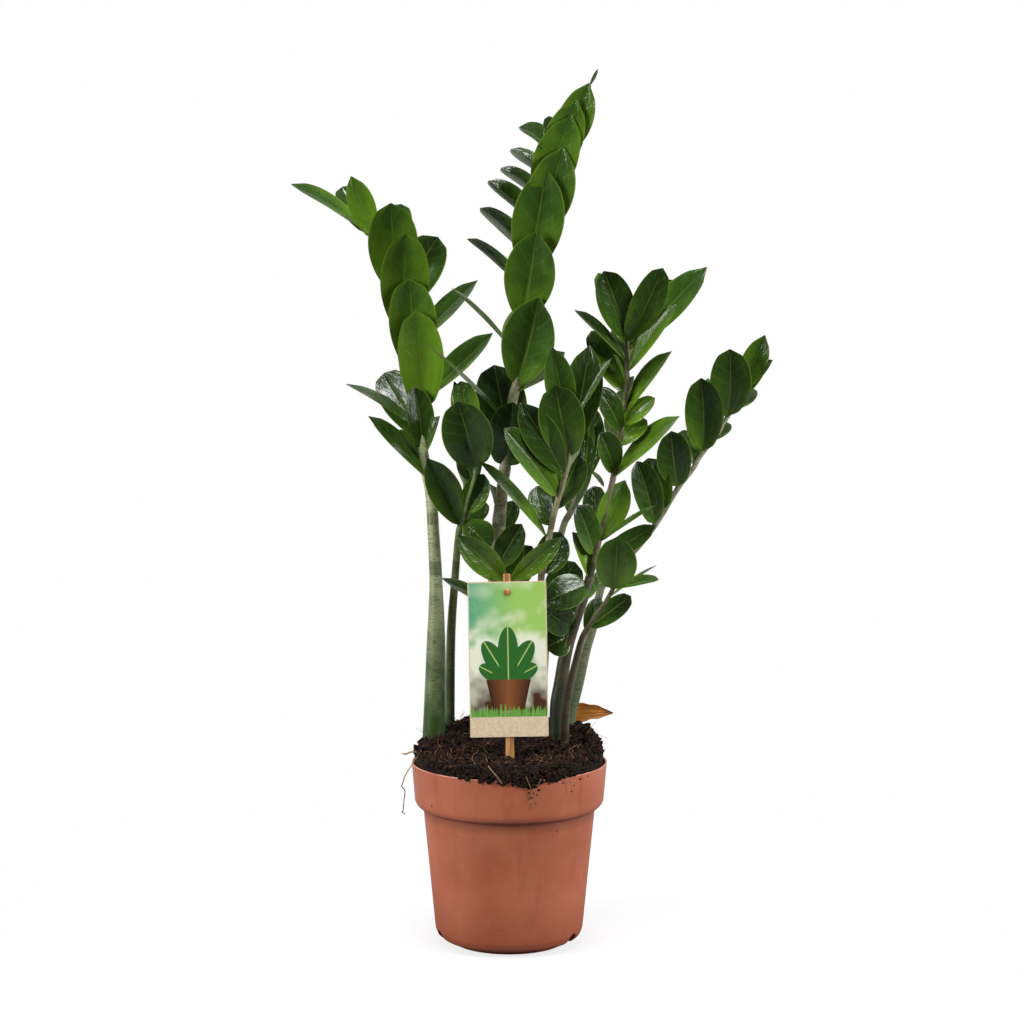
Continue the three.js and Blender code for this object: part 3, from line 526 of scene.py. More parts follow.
def leaf_skin():
    """Living leaf with a thick waxy skin: deep green with pale veins, under a slightly broken gloss."""
    material, tree, surface = new_material("waxy_green_leaf")
    uv = add(tree, "UVMap", uv_map="UVMap")
    side, along = add(tree, "SeparateXYZ", (uv,)).node.outputs[:2]
    off_rib = add(tree, "Math", (side, 2, -1), operation="MULTIPLY_ADD")
    across = add(tree, "Math", (off_rib,), operation="ABSOLUTE")
    where = add(tree, "TexCoord", out="Object")
    cloud = add(tree, "TexNoise", {"Vector": where, "Scale": every(22), "Detail": 3})
    under = add(tree, "Attribute", out="Fac", attribute_name="under")

    # Side veins leave the midrib every 12 mm or so and run forward to the margin.
    station = add(tree, "Math", (across, -0.22, along), operation="MULTIPLY_ADD")
    lined = add(tree, "Math", (station, 13, cloud), operation="MULTIPLY_ADD")
    wave = add(tree, "Math", (lined, 1), operation="PINGPONG")

    # The green is lighter at the base and darker towards the tip, partly the leaflet's own colour and partly
    # painted shade. It is lighter towards the margin and darker beside the midrib, which is painted shade of
    # the fold. It is also a little cloudy.
    green = add(tree, "Attribute", out="Fac", attribute_name="tone_and_shade")
    for numbers in ((along, 0.1, 0.85, 0.28, -0.18), (cloud, 0.3, 0.7, -0.1, 0.1), (across, 0, 1, 0, 0.26)):
        shade_and_tint = add(tree, "MapRange", numbers)
        green = add(tree, "Math", (green, shade_and_tint), operation="ADD")

    # The midrib is a pale line that thins towards the tip, and the margin a thin pale edge.
    rib_width = add(tree, "MapRange", (along, 0, 1, 0.11, 0.012))
    from_rib = add(tree, "Math", (across, rib_width), operation="DIVIDE")
    colour = washed(tree, "#1b2c0e", [
        ("#375718", (green, 0, 0.5)),
        ("#68901f", (green, 0.5, 1)),
        ("#66803a", (wave, 0.72, 1, 0, 0.14)),
        ("#748c36", (from_rib, 0.5, 1, 0.45, 0)),
        ("#7c9a3a", (across, 0.945, 0.985, 0, 0.8)),
        ("#5a6c42", (under, 0, 1, 0, 0.6)),
    ])
    gloss = add(tree, "MapRange", (cloud, 0.3, 0.7, 0.17, 0.28))
    dull = add(tree, "Math", (under, 0.22, gloss), operation="MULTIPLY_ADD")
    fill(surface, {"Base Color": colour, "Roughness": dull, "Normal": leaf_relief(tree, uv, wave)})
    fill(surface, {"IOR": 1.45, "Coat Weight": 0.1, "Coat Roughness": 0.1})
    return material


def stalk_skin(name, low, high, fleck, fleck_share):
    """Fleshy stalk: smooth, slightly shiny skin, paler or browner upwards, with flecks that run round."""
    material, tree, surface = new_material("fleshy_stalk_" + name)
    where = add(tree, "TexCoord", out="Object")
    height = add(tree, "SeparateXYZ", (where,), 2)
    cloud = add(tree, "TexNoise", {"Vector": where, "Scale": every(17), "Detail": 3})
    upward = add(tree, "MapRange", (height, 190 * MM, 420 * MM))
    uneven = add(tree, "MapRange", (cloud, 0, 1, -0.45, 0.45))
    paler = add(tree, "Math", (uneven, upward), operation="ADD")

    # Flecks are a millimetre or so high and several wide, so the pattern is squeezed along Z.
    squeezed = add(tree, "Mapping", {"Vector": where, "Scale": (1, 1, 4.5)})
    spots = add(tree, "TexNoise", {"Vector": squeezed, "Scale": every(5.3), "Detail": 2})

    # Darker rings remain where the leaves' sheaths were attached.
    levels = add(tree, "TexNoise", {"W": height, "Scale": every(24), "Detail": 1}, noise_dimensions="1D")
    colour = washed(tree, low, [
        (high, (paler, 0, 1)),
        (fleck, (spots, 0.53, 0.66, 0, fleck_share)),
        (fleck, (levels, 0.6, 0.68, 0, 0.65), (cloud, 0.4, 0.55)),
    ])
    bump = add(tree, "Bump", {"Strength": 0.4, "Distance": 0.3 * MM, "Height": spots})
    fill(surface, {"Base Color": colour, "Roughness": 0.42, "IOR": 1.45, "Normal": bump})
    return material


def peat():
    """Moist fibrous peat: nearly black brown, rust-brown in places, with no shine."""
    material, tree, surface = new_material("moist_fibrous_peat")
    where = add(tree, "TexCoord", out="Object")
    cloud = add(tree, "TexNoise", {"Vector": where, "Scale": every(6), "Detail": 4})
    grain = add(tree, "TexNoise", {"Vector": where, "Scale": every(1.1), "Detail": 2})
    both = add(tree, "Math", (cloud, grain), operation="MULTIPLY")
    colour = washed(tree, "#080503", [("#2d1b12", (both, 0.17, 0.38))])
    bump = add(tree, "Bump", {"Strength": 0.8, "Distance": 0.5 * MM, "Height": grain})
    fill(surface, {"Base Color": colour, "Roughness": 0.88, "Specular IOR Level": 0.2, "Normal": bump})
    return material


def dry_fibre(name, dark, light):
    """Dry root or bark fibre: matt and thin, its colour uneven along its length."""
    material, tree, surface = new_material(name)
    where = add(tree, "TexCoord", out="Object")
    cloud = add(tree, "TexNoise", {"Vector": where, "Scale": every(4.5), "Detail": 2})
    fill(surface, {"Base Color": washed(tree, dark, [(light, (cloud, 0.35, 0.65))]), "Roughness": 0.8})
    return material


def pot_plastic():
    """Moulded polypropylene, terracotta-coloured: satin, faintly clouded, with dust, dried soil water runs,
    painted shade and a painted highlight.
    """
    material, tree, surface = new_material("moulded_terracotta_polypropylene")
    where = add(tree, "TexCoord", out="Object")
    height = add(tree, "SeparateXYZ", (where,), 2)
    cloud = add(tree, "TexNoise", {"Vector": where, "Scale": every(70), "Detail": 4})
    dust = add(tree, "TexNoise", {"Vector": where, "Scale": every(26), "Detail": 8, "Roughness": 0.65})
    specks = add(tree, "TexVoronoi", {"Vector": where, "Scale": every(14)})
    skin = add(tree, "TexNoise", {"Vector": where, "Scale": every(2), "Detail": 2})

    # Wipe marks and dried water run down the wall, so the pattern is stretched along Z.
    stretched = add(tree, "Mapping", {"Vector": where, "Scale": (1, 1, 0.16)})
    runs = add(tree, "TexNoise", {"Vector": stretched, "Scale": every(13), "Detail": 5})

    # The lip has a painted highlight, the body just below the band a painted shadow cast by the band, and the
    # wall painted shade that darkens it towards the foot.
    lip = (height, (POT_HEIGHT - 1.4) * MM, (POT_HEIGHT - 0.6) * MM)
    painted_shadow_rise = (height, (STEP_HEIGHT - 9.5) * MM, STEP_HEIGHT * MM, 0, 0.55)
    painted_shadow_end = (height, (STEP_HEIGHT + 2.7) * MM, (STEP_HEIGHT + 4) * MM, 1, 0)
    colour = washed(tree, "#a9593c", [
        ("#b96749", (cloud, 0.35, 0.65)),
        ("#8a4429", (runs, 0.52, 0.75, 0, 0.4)),
        ("#bd7a5c", (dust, 0.5, 0.8, 0, 0.45)),
        ("#3c2118", (specks, 0.03, 0.055, 0.85, 0)),
        # painted highlight along the lip, broken up by the dust pattern
        ("#d9a48c", lip, (dust, 0.4, 0.6, 0.25, 0.9)),
        # painted shadow below the band
        ("#54281a", painted_shadow_rise, painted_shadow_end),
        # painted shade, darker towards the foot
        ("#8a4222", (height, 4 * MM, 50 * MM, 0.7, 0)),
    ])
    rough = add(tree, "MapRange", (dust, 0.3, 0.7, 0.42, 0.6))
    bump = add(tree, "Bump", {"Strength": 0.25, "Distance": 0.1 * MM, "Height": skin})
    fill(surface, {"Base Color": colour, "Roughness": rough, "Normal": bump})
    return material


def bare_kraft(tree):
    """The colour of bare kraft card: cream with a faint fleck of pulp."""
    where = add(tree, "TexCoord", out="Object")
    pulp = add(tree, "TexNoise", {"Vector": where, "Scale": every(2.4), "Detail": 3})
    return washed(tree, "#e8d6ba", [("#d9c19b", (pulp, 0.35, 0.7))])


def kraft_card():
    """Uncoated kraft card, matt, for the label's back and edges."""
    material, tree, surface = new_material("kraft_card")
    fill(surface, {"Base Color": bare_kraft(tree), "Roughness": 0.4})
    return material


# The label's print: a plain drawing of a leafy plant in a pot, with grass below. All its sizes are shares of
# the card's width. Each leaf has its angle from upright in degrees, its length and its width.
PRINT_LEAF_ROOT = (0.5, 0.72)
PRINT_LEAVES = [(-62, 0.42, 0.22), (62, 0.42, 0.22), (-31, 0.6, 0.26), (31, 0.6, 0.26), (0, 0.7, 0.27)]
PRINT_POT_MIDDLE = 0.54
PRINT_POT_HALF_HEIGHT = 0.2
PRINT_POT_HALF_WIDTH = 0.24
PRINT_POT_FLARE = 0.22  # how fast the drawn pot widens upwards
PRINT_BORDER = 0.015  # plain card round the printed field
PRINT_FOOT = 0.26  # plain band at the bottom


def blurred_garden(tree, uv, across, up):
    """The print's ground: dark earth low down, a pale haze in the middle and fresh green at the top.

    Its blots are about 20 mm wide, which is a third or a quarter of the card's width.
    """
    blur = add(tree, "TexNoise", {"Vector": uv, "Scale": 3.2, "Detail": 2})
    soft = add(tree, "TexVoronoi", {"Vector": uv, "Scale": 4}, feature="SMOOTH_F1")
    rise = add(tree, "MapRange", (up, PRINT_FOOT, CARD_HEIGHT / CARD_WIDTH))
    drift = add(tree, "Math", (blur, 0.9, rise), operation="MULTIPLY_ADD")
    return washed(tree, "#4a2d1b", [
        ("#eef1da", (drift, 0.5, 0.85)),
        ("#a3cf66", (drift, 0.95, 1.2)),
        ("#4fa98c", (across, 0.05, 0.6, 0.85, 0), (drift, 0.95, 1.2)),
        ("#f4f6dc", (soft, 0.1, 0.45, 0.4, 0)),
    ])


def leaf_wash(tree, uv, degrees, length, width):
    """One oval leaf of the print, with a pale rib."""
    angle = math.radians(degrees)
    x, y = PRINT_LEAF_ROOT
    centre = (x + math.sin(angle) * length / 2, y + math.cos(angle) * length / 2, 0)
    half = (width / 2, length / 2, 1)
    place = {"Vector": uv, "Location": centre, "Rotation": (0, 0, -angle), "Scale": half}
    inside = add(tree, "Mapping", place, vector_type="TEXTURE")
    reach = add(tree, "VectorMath", (inside, inside), 1, operation="DOT_PRODUCT")
    aside = add(tree, "SeparateXYZ", (inside,))
    off_rib = add(tree, "Math", (aside, aside), operation="MULTIPLY")
    return washed(tree, "#b9d27a", [("#2f6a2b", (off_rib, 0.001, 0.005))]), (reach, 0.94, 1, 1, 0)


def pot_wash(tree, across, up):
    """The print's pot, which widens upwards and is shaded towards its sides."""
    over = add(tree, "Math", (up, PRINT_POT_MIDDLE), operation="SUBTRACT")
    half_width = add(tree, "Math", (over, PRINT_POT_FLARE, PRINT_POT_HALF_WIDTH), operation="MULTIPLY_ADD")
    off_middle = add(tree, "Math", (across, 0.5), operation="SUBTRACT")
    aside = add(tree, "Math", (off_middle,), operation="ABSOLUTE")
    outward = add(tree, "Math", (aside, half_width), operation="DIVIDE")
    beside = add(tree, "Math", (outward, 1), operation="LESS_THAN")
    level = add(tree, "Math", (up, PRINT_POT_MIDDLE, PRINT_POT_HALF_HEIGHT), operation="COMPARE")
    return washed(tree, "#8c5430", [("#3a2012", (outward, 0, 1))]), (beside, 0, 1), (level, 0, 1)


def grass_wash(tree, across, up):
    """Blades of grass, 2 mm wide, along the bottom of the printed field."""
    blades = add(tree, "TexNoise", {"W": across, "Scale": 34}, noise_dimensions="1D")
    blade_top = add(tree, "MapRange", (blades, 0.3, 0.7, 0.29, 0.42))
    in_grass = add(tree, "Math", (up, blade_top), operation="LESS_THAN")
    return washed(tree, "#2f7a2c", [("#8cc457", (blades, 0, 1))]), (in_grass, 0, 1)


def printed_card():
    """Litho print under a thin varnish on kraft card: a generic garden scene above a bare band."""
    material, tree, surface = new_material("varnished_litho_print")
    uv = add(tree, "UVMap", uv_map="UVMap")
    across, up = add(tree, "SeparateXYZ", (uv,)).node.outputs[:2]
    washes = [leaf_wash(tree, uv, *leaf) for leaf in PRINT_LEAVES]
    washes += [pot_wash(tree, across, up), grass_wash(tree, across, up)]
    picture = washed(tree, blurred_garden(tree, uv, across, up), washes)

    # The printed field is inset from the card's edges.
    top = CARD_HEIGHT / CARD_WIDTH - PRINT_BORDER
    in_width = add(tree, "Math", (across, 0.5, 0.5 - PRINT_BORDER), operation="COMPARE")
    in_height = add(tree, "Math", (up, (top + PRINT_FOOT) / 2, (top - PRINT_FOOT) / 2), operation="COMPARE")
    colour = washed(tree, bare_kraft(tree), [(picture, (in_width, 0, 1), (in_height, 0, 1))])
    fill(surface, {"Base Color": colour, "Roughness": 0.38})
    return material


def split_wood():
    """Split bamboo or birch stick: matt straw yellow, with a dark grain that runs lengthwise."""
    material, tree, surface = new_material("split_wood_stick")
    where = add(tree, "TexCoord", out="Object")
    drawn = add(tree, "Mapping", {"Vector": where, "Scale": (1, 1, 0.03)})
    grain = add(tree, "TexNoise", {"Vector": drawn, "Scale": every(1.6), "Detail": 4})
    colour = washed(tree, "#966030", [("#d29e66", (grain, 0.42, 0.6))])
    bump = add(tree, "Bump", {"Strength": 0.5, "Distance": 0.15 * MM, "Height": grain})
    fill(surface, {"Base Color": colour, "Roughness": 0.65, "Normal": bump})
    return material


def papery_sheath():
    """Dry papery sheath: matt orange brown, streaked along its fibres, and darker at its tip."""
    material, tree, surface = new_material("dry_papery_sheath")
    uv = add(tree, "UVMap", uv_map="UVMap")
    along = add(tree, "SeparateXYZ", (uv,), 1)

    # The streaks are 0.6 mm wide, so there are 26 side by side, and each is about half the sheath long.
    drawn = add(tree, "Mapping", {"Vector": uv, "Scale": (26, 2.2, 1)})
    streaks = add(tree, "TexNoise", {"Vector": drawn, "Scale": 1, "Detail": 5})
    tints = [("#e09840", (streaks, 0.35, 0.68)), ("#4a2510", (along, 0.78, 1, 0, 0.8))]
    bump = add(tree, "Bump", {"Strength": 0.7, "Distance": 0.4 * MM, "Height": streaks})
    fill(surface, {"Base Color": washed(tree, "#94501a", tints), "Roughness": 0.4, "Normal": bump})
    return material


# ---- Leaflets and stalks ----

LEAFLET_FORMS = 6  # differently bent leaflets of each shape, which take turns
LEAFLET_STATIONS = 30
STATION_EASE = 0.85  # brings the stations closer together towards the tip
LEAFLET_COLUMNS = 12
OUTLINES = [(1.2, 0.62, 4.6), (1.22, 0.43, 8)]  # of each shape: how far up it is widest, shoulders, taper
PETIOLE_END = 0.1  # share of the length over which the round petiole widens into the blade
PETIOLE_HALF = 0.085  # its half width, over the leaflet's half width
ARCH = 0.03  # height of the midrib's bow; this and the next sizes are over twice the leaflet's width
FOLD = 0.075  # rise of the margin over the midrib
SKIN_HALF = 0.0052  # half the thickness
PETIOLE_SKIN = 0.014
GROOVE = (0.006, 0.07)  # depth and reach of the hollow along the midrib
KEEL = (0.012, 0.1)  # the same of the midrib below the blade
MIDRIB = {1: [GROOVE], -1: [GROOVE, KEEL]}  # what shapes the upper and the lower side
TIP_START = 0.9  # where the blade starts to thin out


def leaflet_outline(along, shape):
    """Half width over the largest half width: a wedge-shaped base, broad past the middle, and a short tip."""
    widest, roundness, taper = OUTLINES[shape]
    shoulders = max(math.sin(math.pi * along**widest), 0) ** roundness
    return min(shoulders, taper * (1 - along) + 0.02)


def leaflet_mesh(shape, number):
    """One leaflet, 1 long along Y, 1 to each side along X, with its upper side at +Z in double widths."""
    chance = random.Random(number)
    fold = FOLD * chance.uniform(0.7, 1.3)
    sway = chance.uniform(-0.1, 0.1)
    arch = ARCH * chance.uniform(0.2, 1.8)
    ruffle = chance.uniform(0.002, 0.007)
    phase = chance.uniform(0, math.tau)
    columns = [(-1 + 2 * c / LEAFLET_COLUMNS, 1) for c in range(LEAFLET_COLUMNS + 1)]
    columns += [(edge, -1) for edge, side in columns[-2:0:-1]]
    shares = [station / LEAFLET_STATIONS for station in range(LEAFLET_STATIONS + 1)]
    stations = [(1 - math.cos(math.pi * share**STATION_EASE)) / 2 for share in shares]
    rings = []
    for along in stations:
        blade = smooth_step(0.01, PETIOLE_END, along)
        half = mix(PETIOLE_HALF, max(leaflet_outline(along, shape), 0.012), blade)
        thinning = max(along - TIP_START, 0) / (1 - TIP_START)
        skin = mix(PETIOLE_SKIN, SKIN_HALF, blade) * mix(1, 0.3, thinning)
        roundness = mix(2, 9, blade)
        bow = math.sin(math.pi * along)
        ring = []
        for edge, side in columns:
            height = arch * bow + fold * half * abs(edge) ** 1.1 * blade
            height += ruffle * blade * edge**2 * math.sin(9 * along + 2 * edge + phase)
            height += side * skin * (1 - abs(edge) ** roundness) ** 0.5
            for depth, reach in MIDRIB[side]:
                height -= depth * math.exp(-((edge / reach) ** 2)) * blade * (1 - along)
            ring.append((edge * half + sway * bow, along, height))
        rings.append(ring)
    bm = tube(rings)
    bm.verts.index_update()
    uv_layer = bm.loops.layers.uv.new("UVMap")
    under_layer = bm.faces.layers.float.new("under")
    for place, face in enumerate(list(bm.faces)[:-2]):  # all but the two end faces
        column = place % len(columns)
        face[under_layer] = float(column >= LEAFLET_COLUMNS)
        if column % LEAFLET_COLUMNS == 0:
            face.edges[3].smooth = False  # the margin
        for loop in face.loops:
            station, spot = divmod(loop.vert.index, len(columns))
            loop[uv_layer].uv = ((columns[spot][0] + 1) / 2, stations[station])
    return mesh_from(bm, f"leaflet_{shape}_{number}")


STALK_STEPS = 10  # between two listed places
SCAR_REACH = 3.0 * MM  # along the stalk, to either side of a leaflet's root
SCAR_SWELL = 0.07


def stalk_line(stem):
    """The line of a stalk through its listed places, from below the soil upwards."""
    places = [seen((column, row), depth) for column, row, depth, width in stem]
    radii = [width / 2 * MM for column, row, depth, width in stem]
    buried = places[0] + (places[0] - places[1]).normalized() * BURIED * MM
    return smooth_line([buried] + places, radii[:1] + radii, STALK_STEPS)


def with_scars(line, roots):
    """The stalk swells a little where a leaflet is rooted."""
    swollen = []
    for point, radius in line:
        nearest = min((point - root).length for root in roots)
        swollen.append((point, radius * (1 + SCAR_SWELL * math.exp(-((nearest / SCAR_REACH) ** 2)))))
    return swollen


def upper_side(axis, roll):
    """The direction of a leaflet's upper side: towards the eye at roll 0, then turned about its length."""
    facing = (TOWARDS_EYE - axis * TOWARDS_EYE.dot(axis)).normalized()
    angle = math.radians(roll)
    return facing * math.cos(angle) + axis.cross(facing) * math.sin(angle)


def leaflets(name, line, listed, forms, material):
    """The roots of one frond's leaflets, and all its leaflets as one piece."""
    roots = []
    values = {"axis": [], "upper": [], "size": [], "tone_and_shade": [], "form": []}
    for number, (row, tip, behind, width, roll, tone_and_shade, shape) in enumerate(listed):
        root = min((point for point, radius in line), key=lambda point: abs(row_of(point) - row))
        reach = seen(tip, root.y / MM + behind) - root
        axis = reach.normalized()
        roots.append(root)
        values["axis"].extend(axis)
        values["upper"].extend(upper_side(axis, roll))
        values["size"].extend((width / 2 * MM, reach.length, 2 * width * MM))
        # The tone is partly the leaflet's own green and partly painted light and shade for how lit it stands.
        values["tone_and_shade"].append(tone_and_shade)
        values["form"].append(shape * LEAFLET_FORMS + (5 * number + len(name)) % LEAFLET_FORMS)
    mesh = bpy.data.meshes.new(name + "_roots")
    mesh.from_pydata(roots, [], [])
    for attribute, numbers in values.items():
        kind = {"tone_and_shade": "FLOAT", "form": "INT"}.get(attribute, "FLOAT_VECTOR")
        data = mesh.attributes.new(attribute, kind, "POINT").data
        data.foreach_set("vector" if kind == "FLOAT_VECTOR" else "value", numbers)
    return roots, grown(name, mesh, LEAFLETS, {"Pieces": forms, "Material": material})


# Each stalk's colour low down and higher up, its flecks' colour and how much they show.
STALK_COLOURS = {
    "frond_left_tall": ("#2f4a14", "#b2b88c", "#34451f", 0.7),
    "frond_left_thin": ("#34402c", "#7d8c55", "#2a3320", 0.6),
    "frond_centre_tall": ("#56683e", "#a8a282", "#3a4030", 0.7),
    "frond_centre": ("#6f6a50", "#a09a78", "#4c4a38", 0.5),
    "frond_right_centre": ("#2e3424", "#74684f", "#1c2419", 0.6),
    "frond_right": ("#5b6b4a", "#8f8c70", "#363f2c", 0.7),
    "frond_rear": ("#5a5a44", "#8a8468", "#3c3a2c", 0.6),
    "frond_low_right": ("#4a4030", "#6f7048", "#2c261c", 0.6),
    "frond_front_low": ("#5c6a40", "#7c8c50", "#3c4630", 0.5),
}


def fronds():
    """Each frond's leaflets and stalk, which together stand for one CAD node."""
    leaf = leaf_skin()
    shapes = [leaflet_mesh(shape, number) for shape in (ACUTE, BROAD) for number in range(LEAFLET_FORMS)]
    forms = kept_in("leaflet", shapes)
    for name, (stem, listed) in FRONDS.items():
        line = stalk_line(stem)
        roots, foliage = leaflets(name + "_leaflets", line, listed, forms, leaf)
        part_of_plant(foliage, "zz_leaf", name)
        skin = stalk_skin(name, *STALK_COLOURS[name])
        stalk = swept(name + "_stalk", with_scars(line, roots), skin, 24, 0.24 * MM, every(9))
        part_of_plant(stalk, "zz_leaf", name)


# ---- Soil ----

SOIL_RISE = 6  # the soil stands higher round the stalks at the right
SOIL_RISE_PLACE = (64, 26)
SOIL_RISE_REACH = 20
SOIL_RELIEF = 3.4  # height of the soil's own lumps and hollows, over the CAD model's surface
SOIL_SIDES = 240
SOIL_RINGS = 70


def soil_height(x, y):
    """Height of the soil's surface at a place, all in millimetres."""
    radius = math.hypot(x, y)
    lump = math.sin(0.31 * x + 1.1) * math.cos(0.27 * y + 0.4) + 0.6 * math.sin(0.53 * y - 0.38 * x)
    mound = SOIL_LIFT + SOIL_SLOPE * y + SOIL_DOME * (1 - (radius / SOIL_RADIUS) ** 2) + SOIL_LUMP * lump
    off_rise = math.hypot(x - SOIL_RISE_PLACE[0], y - SOIL_RISE_PLACE[1])
    mound += SOIL_RISE * math.exp(-((off_rise / SOIL_RISE_REACH) ** 2))
    inset = max(min((SOIL_RADIUS - radius) / SOIL_SHOULDER, 1), 0)
    return POT_HEIGHT + max(mound, 3) * (0.45 + 0.55 * math.sqrt(inset))


def soil_point(angle, radius):
    """A point of the soil's rough surface, in metres."""
    x, y = radius * math.cos(angle), radius * math.sin(angle)
    place = Vector((x, y, 0))
    rough = noise.fractal(place * 0.16, 0.8, 2.1, 5) + 0.35 * noise.noise(place * 0.9)
    return Vector((x, y, soil_height(x, y) + SOIL_RELIEF * rough)) * MM


def soil_body(material):
    """The soil in the pot: a rough top, and a plain side and bottom inside the pot."""
    inside = BODY_FOOT_RADIUS - WALL - 2
    buried = [(FOOT_RADIUS - 4, 3.2), (inside - 6, 8), (inside, 20)]
    buried += [(BODY_TOP_RADIUS - WALL - 2, STEP_HEIGHT - 1), (BAND_RADIUS - WALL - 2.4, BAND_FOOT + 4)]
    buried.append((SOIL_RADIUS - 0.6, POT_HEIGHT - 3))
    rings = [[around(radius, angle, height) * MM for angle in turns(SOIL_SIDES)] for radius, height in buried]
    for step in range(SOIL_RINGS):
        radius = SOIL_RADIUS * math.sin(math.pi / 2 * (1 - step / SOIL_RINGS))
        rings.append([soil_point(angle, radius) for angle in turns(SOIL_SIDES)])
    part_of_plant(piece_from(tube(rings, soil_point(0, 0)), "soil_heap", material), "peat_soil", "soil")


def soil_patch(name, reach=82):
    """An open mesh of the soil's surface out to this radius, which carries what is strewn on it."""
    bm = bmesh.new()
    angles = turns(60) + [math.tau]
    rows = []
    for share in (1, 0.97, 0.92, 0.85, 0.75, 0.63, 0.49, 0.32, 0.15, 0.01):
        rows.append([bm.verts.new(soil_point(angle, reach * share)) for angle in angles])
    for outer, inner in zip(rows, rows[1:]):
        band(bm, outer, inner, closed=False)
    return mesh_from(bm, name, smooth=False, outward=False)


# Soil that has spilled over the front of the rim, from its shoulder over the lip and down the band. The
# section lists (radius, height over the rim), and heights below 0 are shares of how far the soil hangs. The
# edge lists (x, how far the soil hangs below the rim there).
SPILL_SECTION = [(79, 9), (82, 6.5), (84.6, 2.4), (85.6, -0.3), (85.4, -1)]
SPILL_EDGE = [
    (-44, 0), (-36, 1), (-29, 0.4), (-21, 2.6), (-13, 1.6), (-4, 4.6), (5, 3.4),
    (13, 6.4), (21, 4.2), (30, 2.2), (38, 2.8), (47, 1.2), (56, 0),
]


def spill_patch(name):
    """An open mesh over the front of the rim, which carries the spilled soil."""
    bm = bmesh.new()
    rows = []
    for radius, height in SPILL_SECTION:
        row = []
        for x, hang in SPILL_EDGE:
            drop = height * hang if height < 0 else height
            row.append(bm.verts.new(Vector((x, -math.sqrt(radius**2 - x**2), POT_HEIGHT + drop)) * MM))
        rows.append(row)
    for upper, lower in zip(rows, rows[1:]):
        for i in range(len(SPILL_EDGE) - 1):
            bm.faces.new((upper[i], lower[i], lower[i + 1], upper[i + 1]))
    return mesh_from(bm, name, smooth=False, outward=False)


def crumb_mesh(number):
    """A lump of peat about 2 units across, with a few flat sides."""
    chance = random.Random(100 + number)
    bm = bmesh.new()
    bmesh.ops.create_icosphere(bm, subdivisions=1, radius=1)
    stretch = Vector((chance.uniform(0.8, 1.5), chance.uniform(0.6, 1), chance.uniform(0.5, 0.8)))
    for vert in bm.verts:
        vert.co *= chance.uniform(0.7, 1.25)
        vert.co *= stretch
    bmesh.ops.dissolve_limit(bm, angle_limit=math.radians(22), verts=bm.verts, edges=bm.edges)
    return mesh_from(bm, f"crumb_{number:02d}", smooth=False)


CRUMB_FORMS = 8
FIBRE_FORMS = 10
FIBRE_STEPS = 9
FIBRE_RADIUS, FIBRE_END_RADIUS = 0.017, 0.006  # over its length


def fibre_mesh(number, material):
    """A curly fibre 1 unit long, which thins towards its end and lies near the plane Z = 0."""
    chance = random.Random(300 + number)
    heading = chance.uniform(0, math.tau)
    rise = chance.uniform(-0.1, 0.5)
    line = [(Vector(), FIBRE_RADIUS)]
    for step in range(1, FIBRE_STEPS + 1):
        heading += chance.uniform(-0.6, 0.6)
        rise += chance.uniform(-0.35, 0.25)
        stride = Vector((math.cos(heading), math.sin(heading), rise)) * (1 / FIBRE_STEPS)
        line.append((line[-1][0] + stride, mix(FIBRE_RADIUS, FIBRE_END_RADIUS, step / FIBRE_STEPS)))
    piece = swept(f"fibre_{number:02d}", line, material, sides=4)
    mesh = piece.data
    bpy.data.objects.remove(piece)
    return mesh


def strewn(name, carrier, pieces, material, density, smallest, largest, lift, tumble, seed):
    """Pieces strewn on a carrier. The density is a number for each square centimetre, the sizes are in mm."""
    values = {"Pieces": pieces, "Density": density * 1e4, "Smallest": smallest * MM, "Largest": largest * MM}
    values.update({"Lift": lift * MM, "Tumble": tumble, "Seed": seed, "Material": material})
    part_of_plant(grown(name, carrier, STREWN, values), "peat_soil")


def soil():
    """The heap of soil, and what is strewn over it and over the rim."""
    material = peat()
    tan = dry_fibre("tan_root_fibre", "#6d4527", "#a87a4c")
    rust = dry_fibre("rust_bark_fibre", "#4a2818", "#7c4a2c")
    soil_body(material)
    crumbs = kept_in("crumb", [crumb_mesh(number) for number in range(CRUMB_FORMS)])
    tan_fibres = kept_in("tan_fibre", [fibre_mesh(number, tan) for number in range(FIBRE_FORMS)])
    rust_fibres = kept_in("rust_fibre", [fibre_mesh(number, rust) for number in range(FIBRE_FORMS)])
    strewn("soil_crumbs", soil_patch("a"), crumbs, material, 16, 0.7, 2.3, 0.3, 3.1, 1)
    strewn("soil_clods", soil_patch("b"), crumbs, material, 2.2, 2.2, 4.2, 0.8, 3.1, 2)
    strewn("soil_tan_fibres", soil_patch("c", 75), tan_fibres, tan, 0.9, 7, 17, 1.0, 0.25, 3)
    strewn("soil_rust_fibres", soil_patch("d", 78), rust_fibres, rust, 3.6, 4, 13, 0.8, 0.4, 4)
    strewn("spilled_crumbs", spill_patch("e"), crumbs, material, 34, 0.8, 2.8, 0.4, 3.1, 5)
    strewn("spilled_fibres", spill_patch("f"), rust_fibres, rust, 5, 3, 6, 0.3, 0.15, 6)
    stray_crumbs(material)


# Crumbs of soil that cling to the pot's wall, as (column, row, size in mm).
STRAY_CRUMBS = [
    (449, 768, 0.8), (462, 772.5, 1.5), (466, 775, 0.9), (471, 773, 1.1), (480, 779, 0.7),
    (518, 786, 1.0), (524, 790, 0.7), (532, 798, 1.7), (533.5, 793, 0.9), (536, 804, 0.6),
    (526, 786, 1.6), (530, 788, 2.2), (535, 787, 1.8), (539, 790, 1.3), (529, 793, 1.2),
    (537, 795, 0.8), (549, 784, 0.9), (563, 783, 0.8), (571.5, 791.5, 1.0), (574, 785.5, 0.7),
    (580, 779, 1.1), (588, 776, 0.8), (594, 792, 0.5), (432, 806, 0.9), (490.5, 871, 0.6),
    (556.5, 831, 0.6),
]


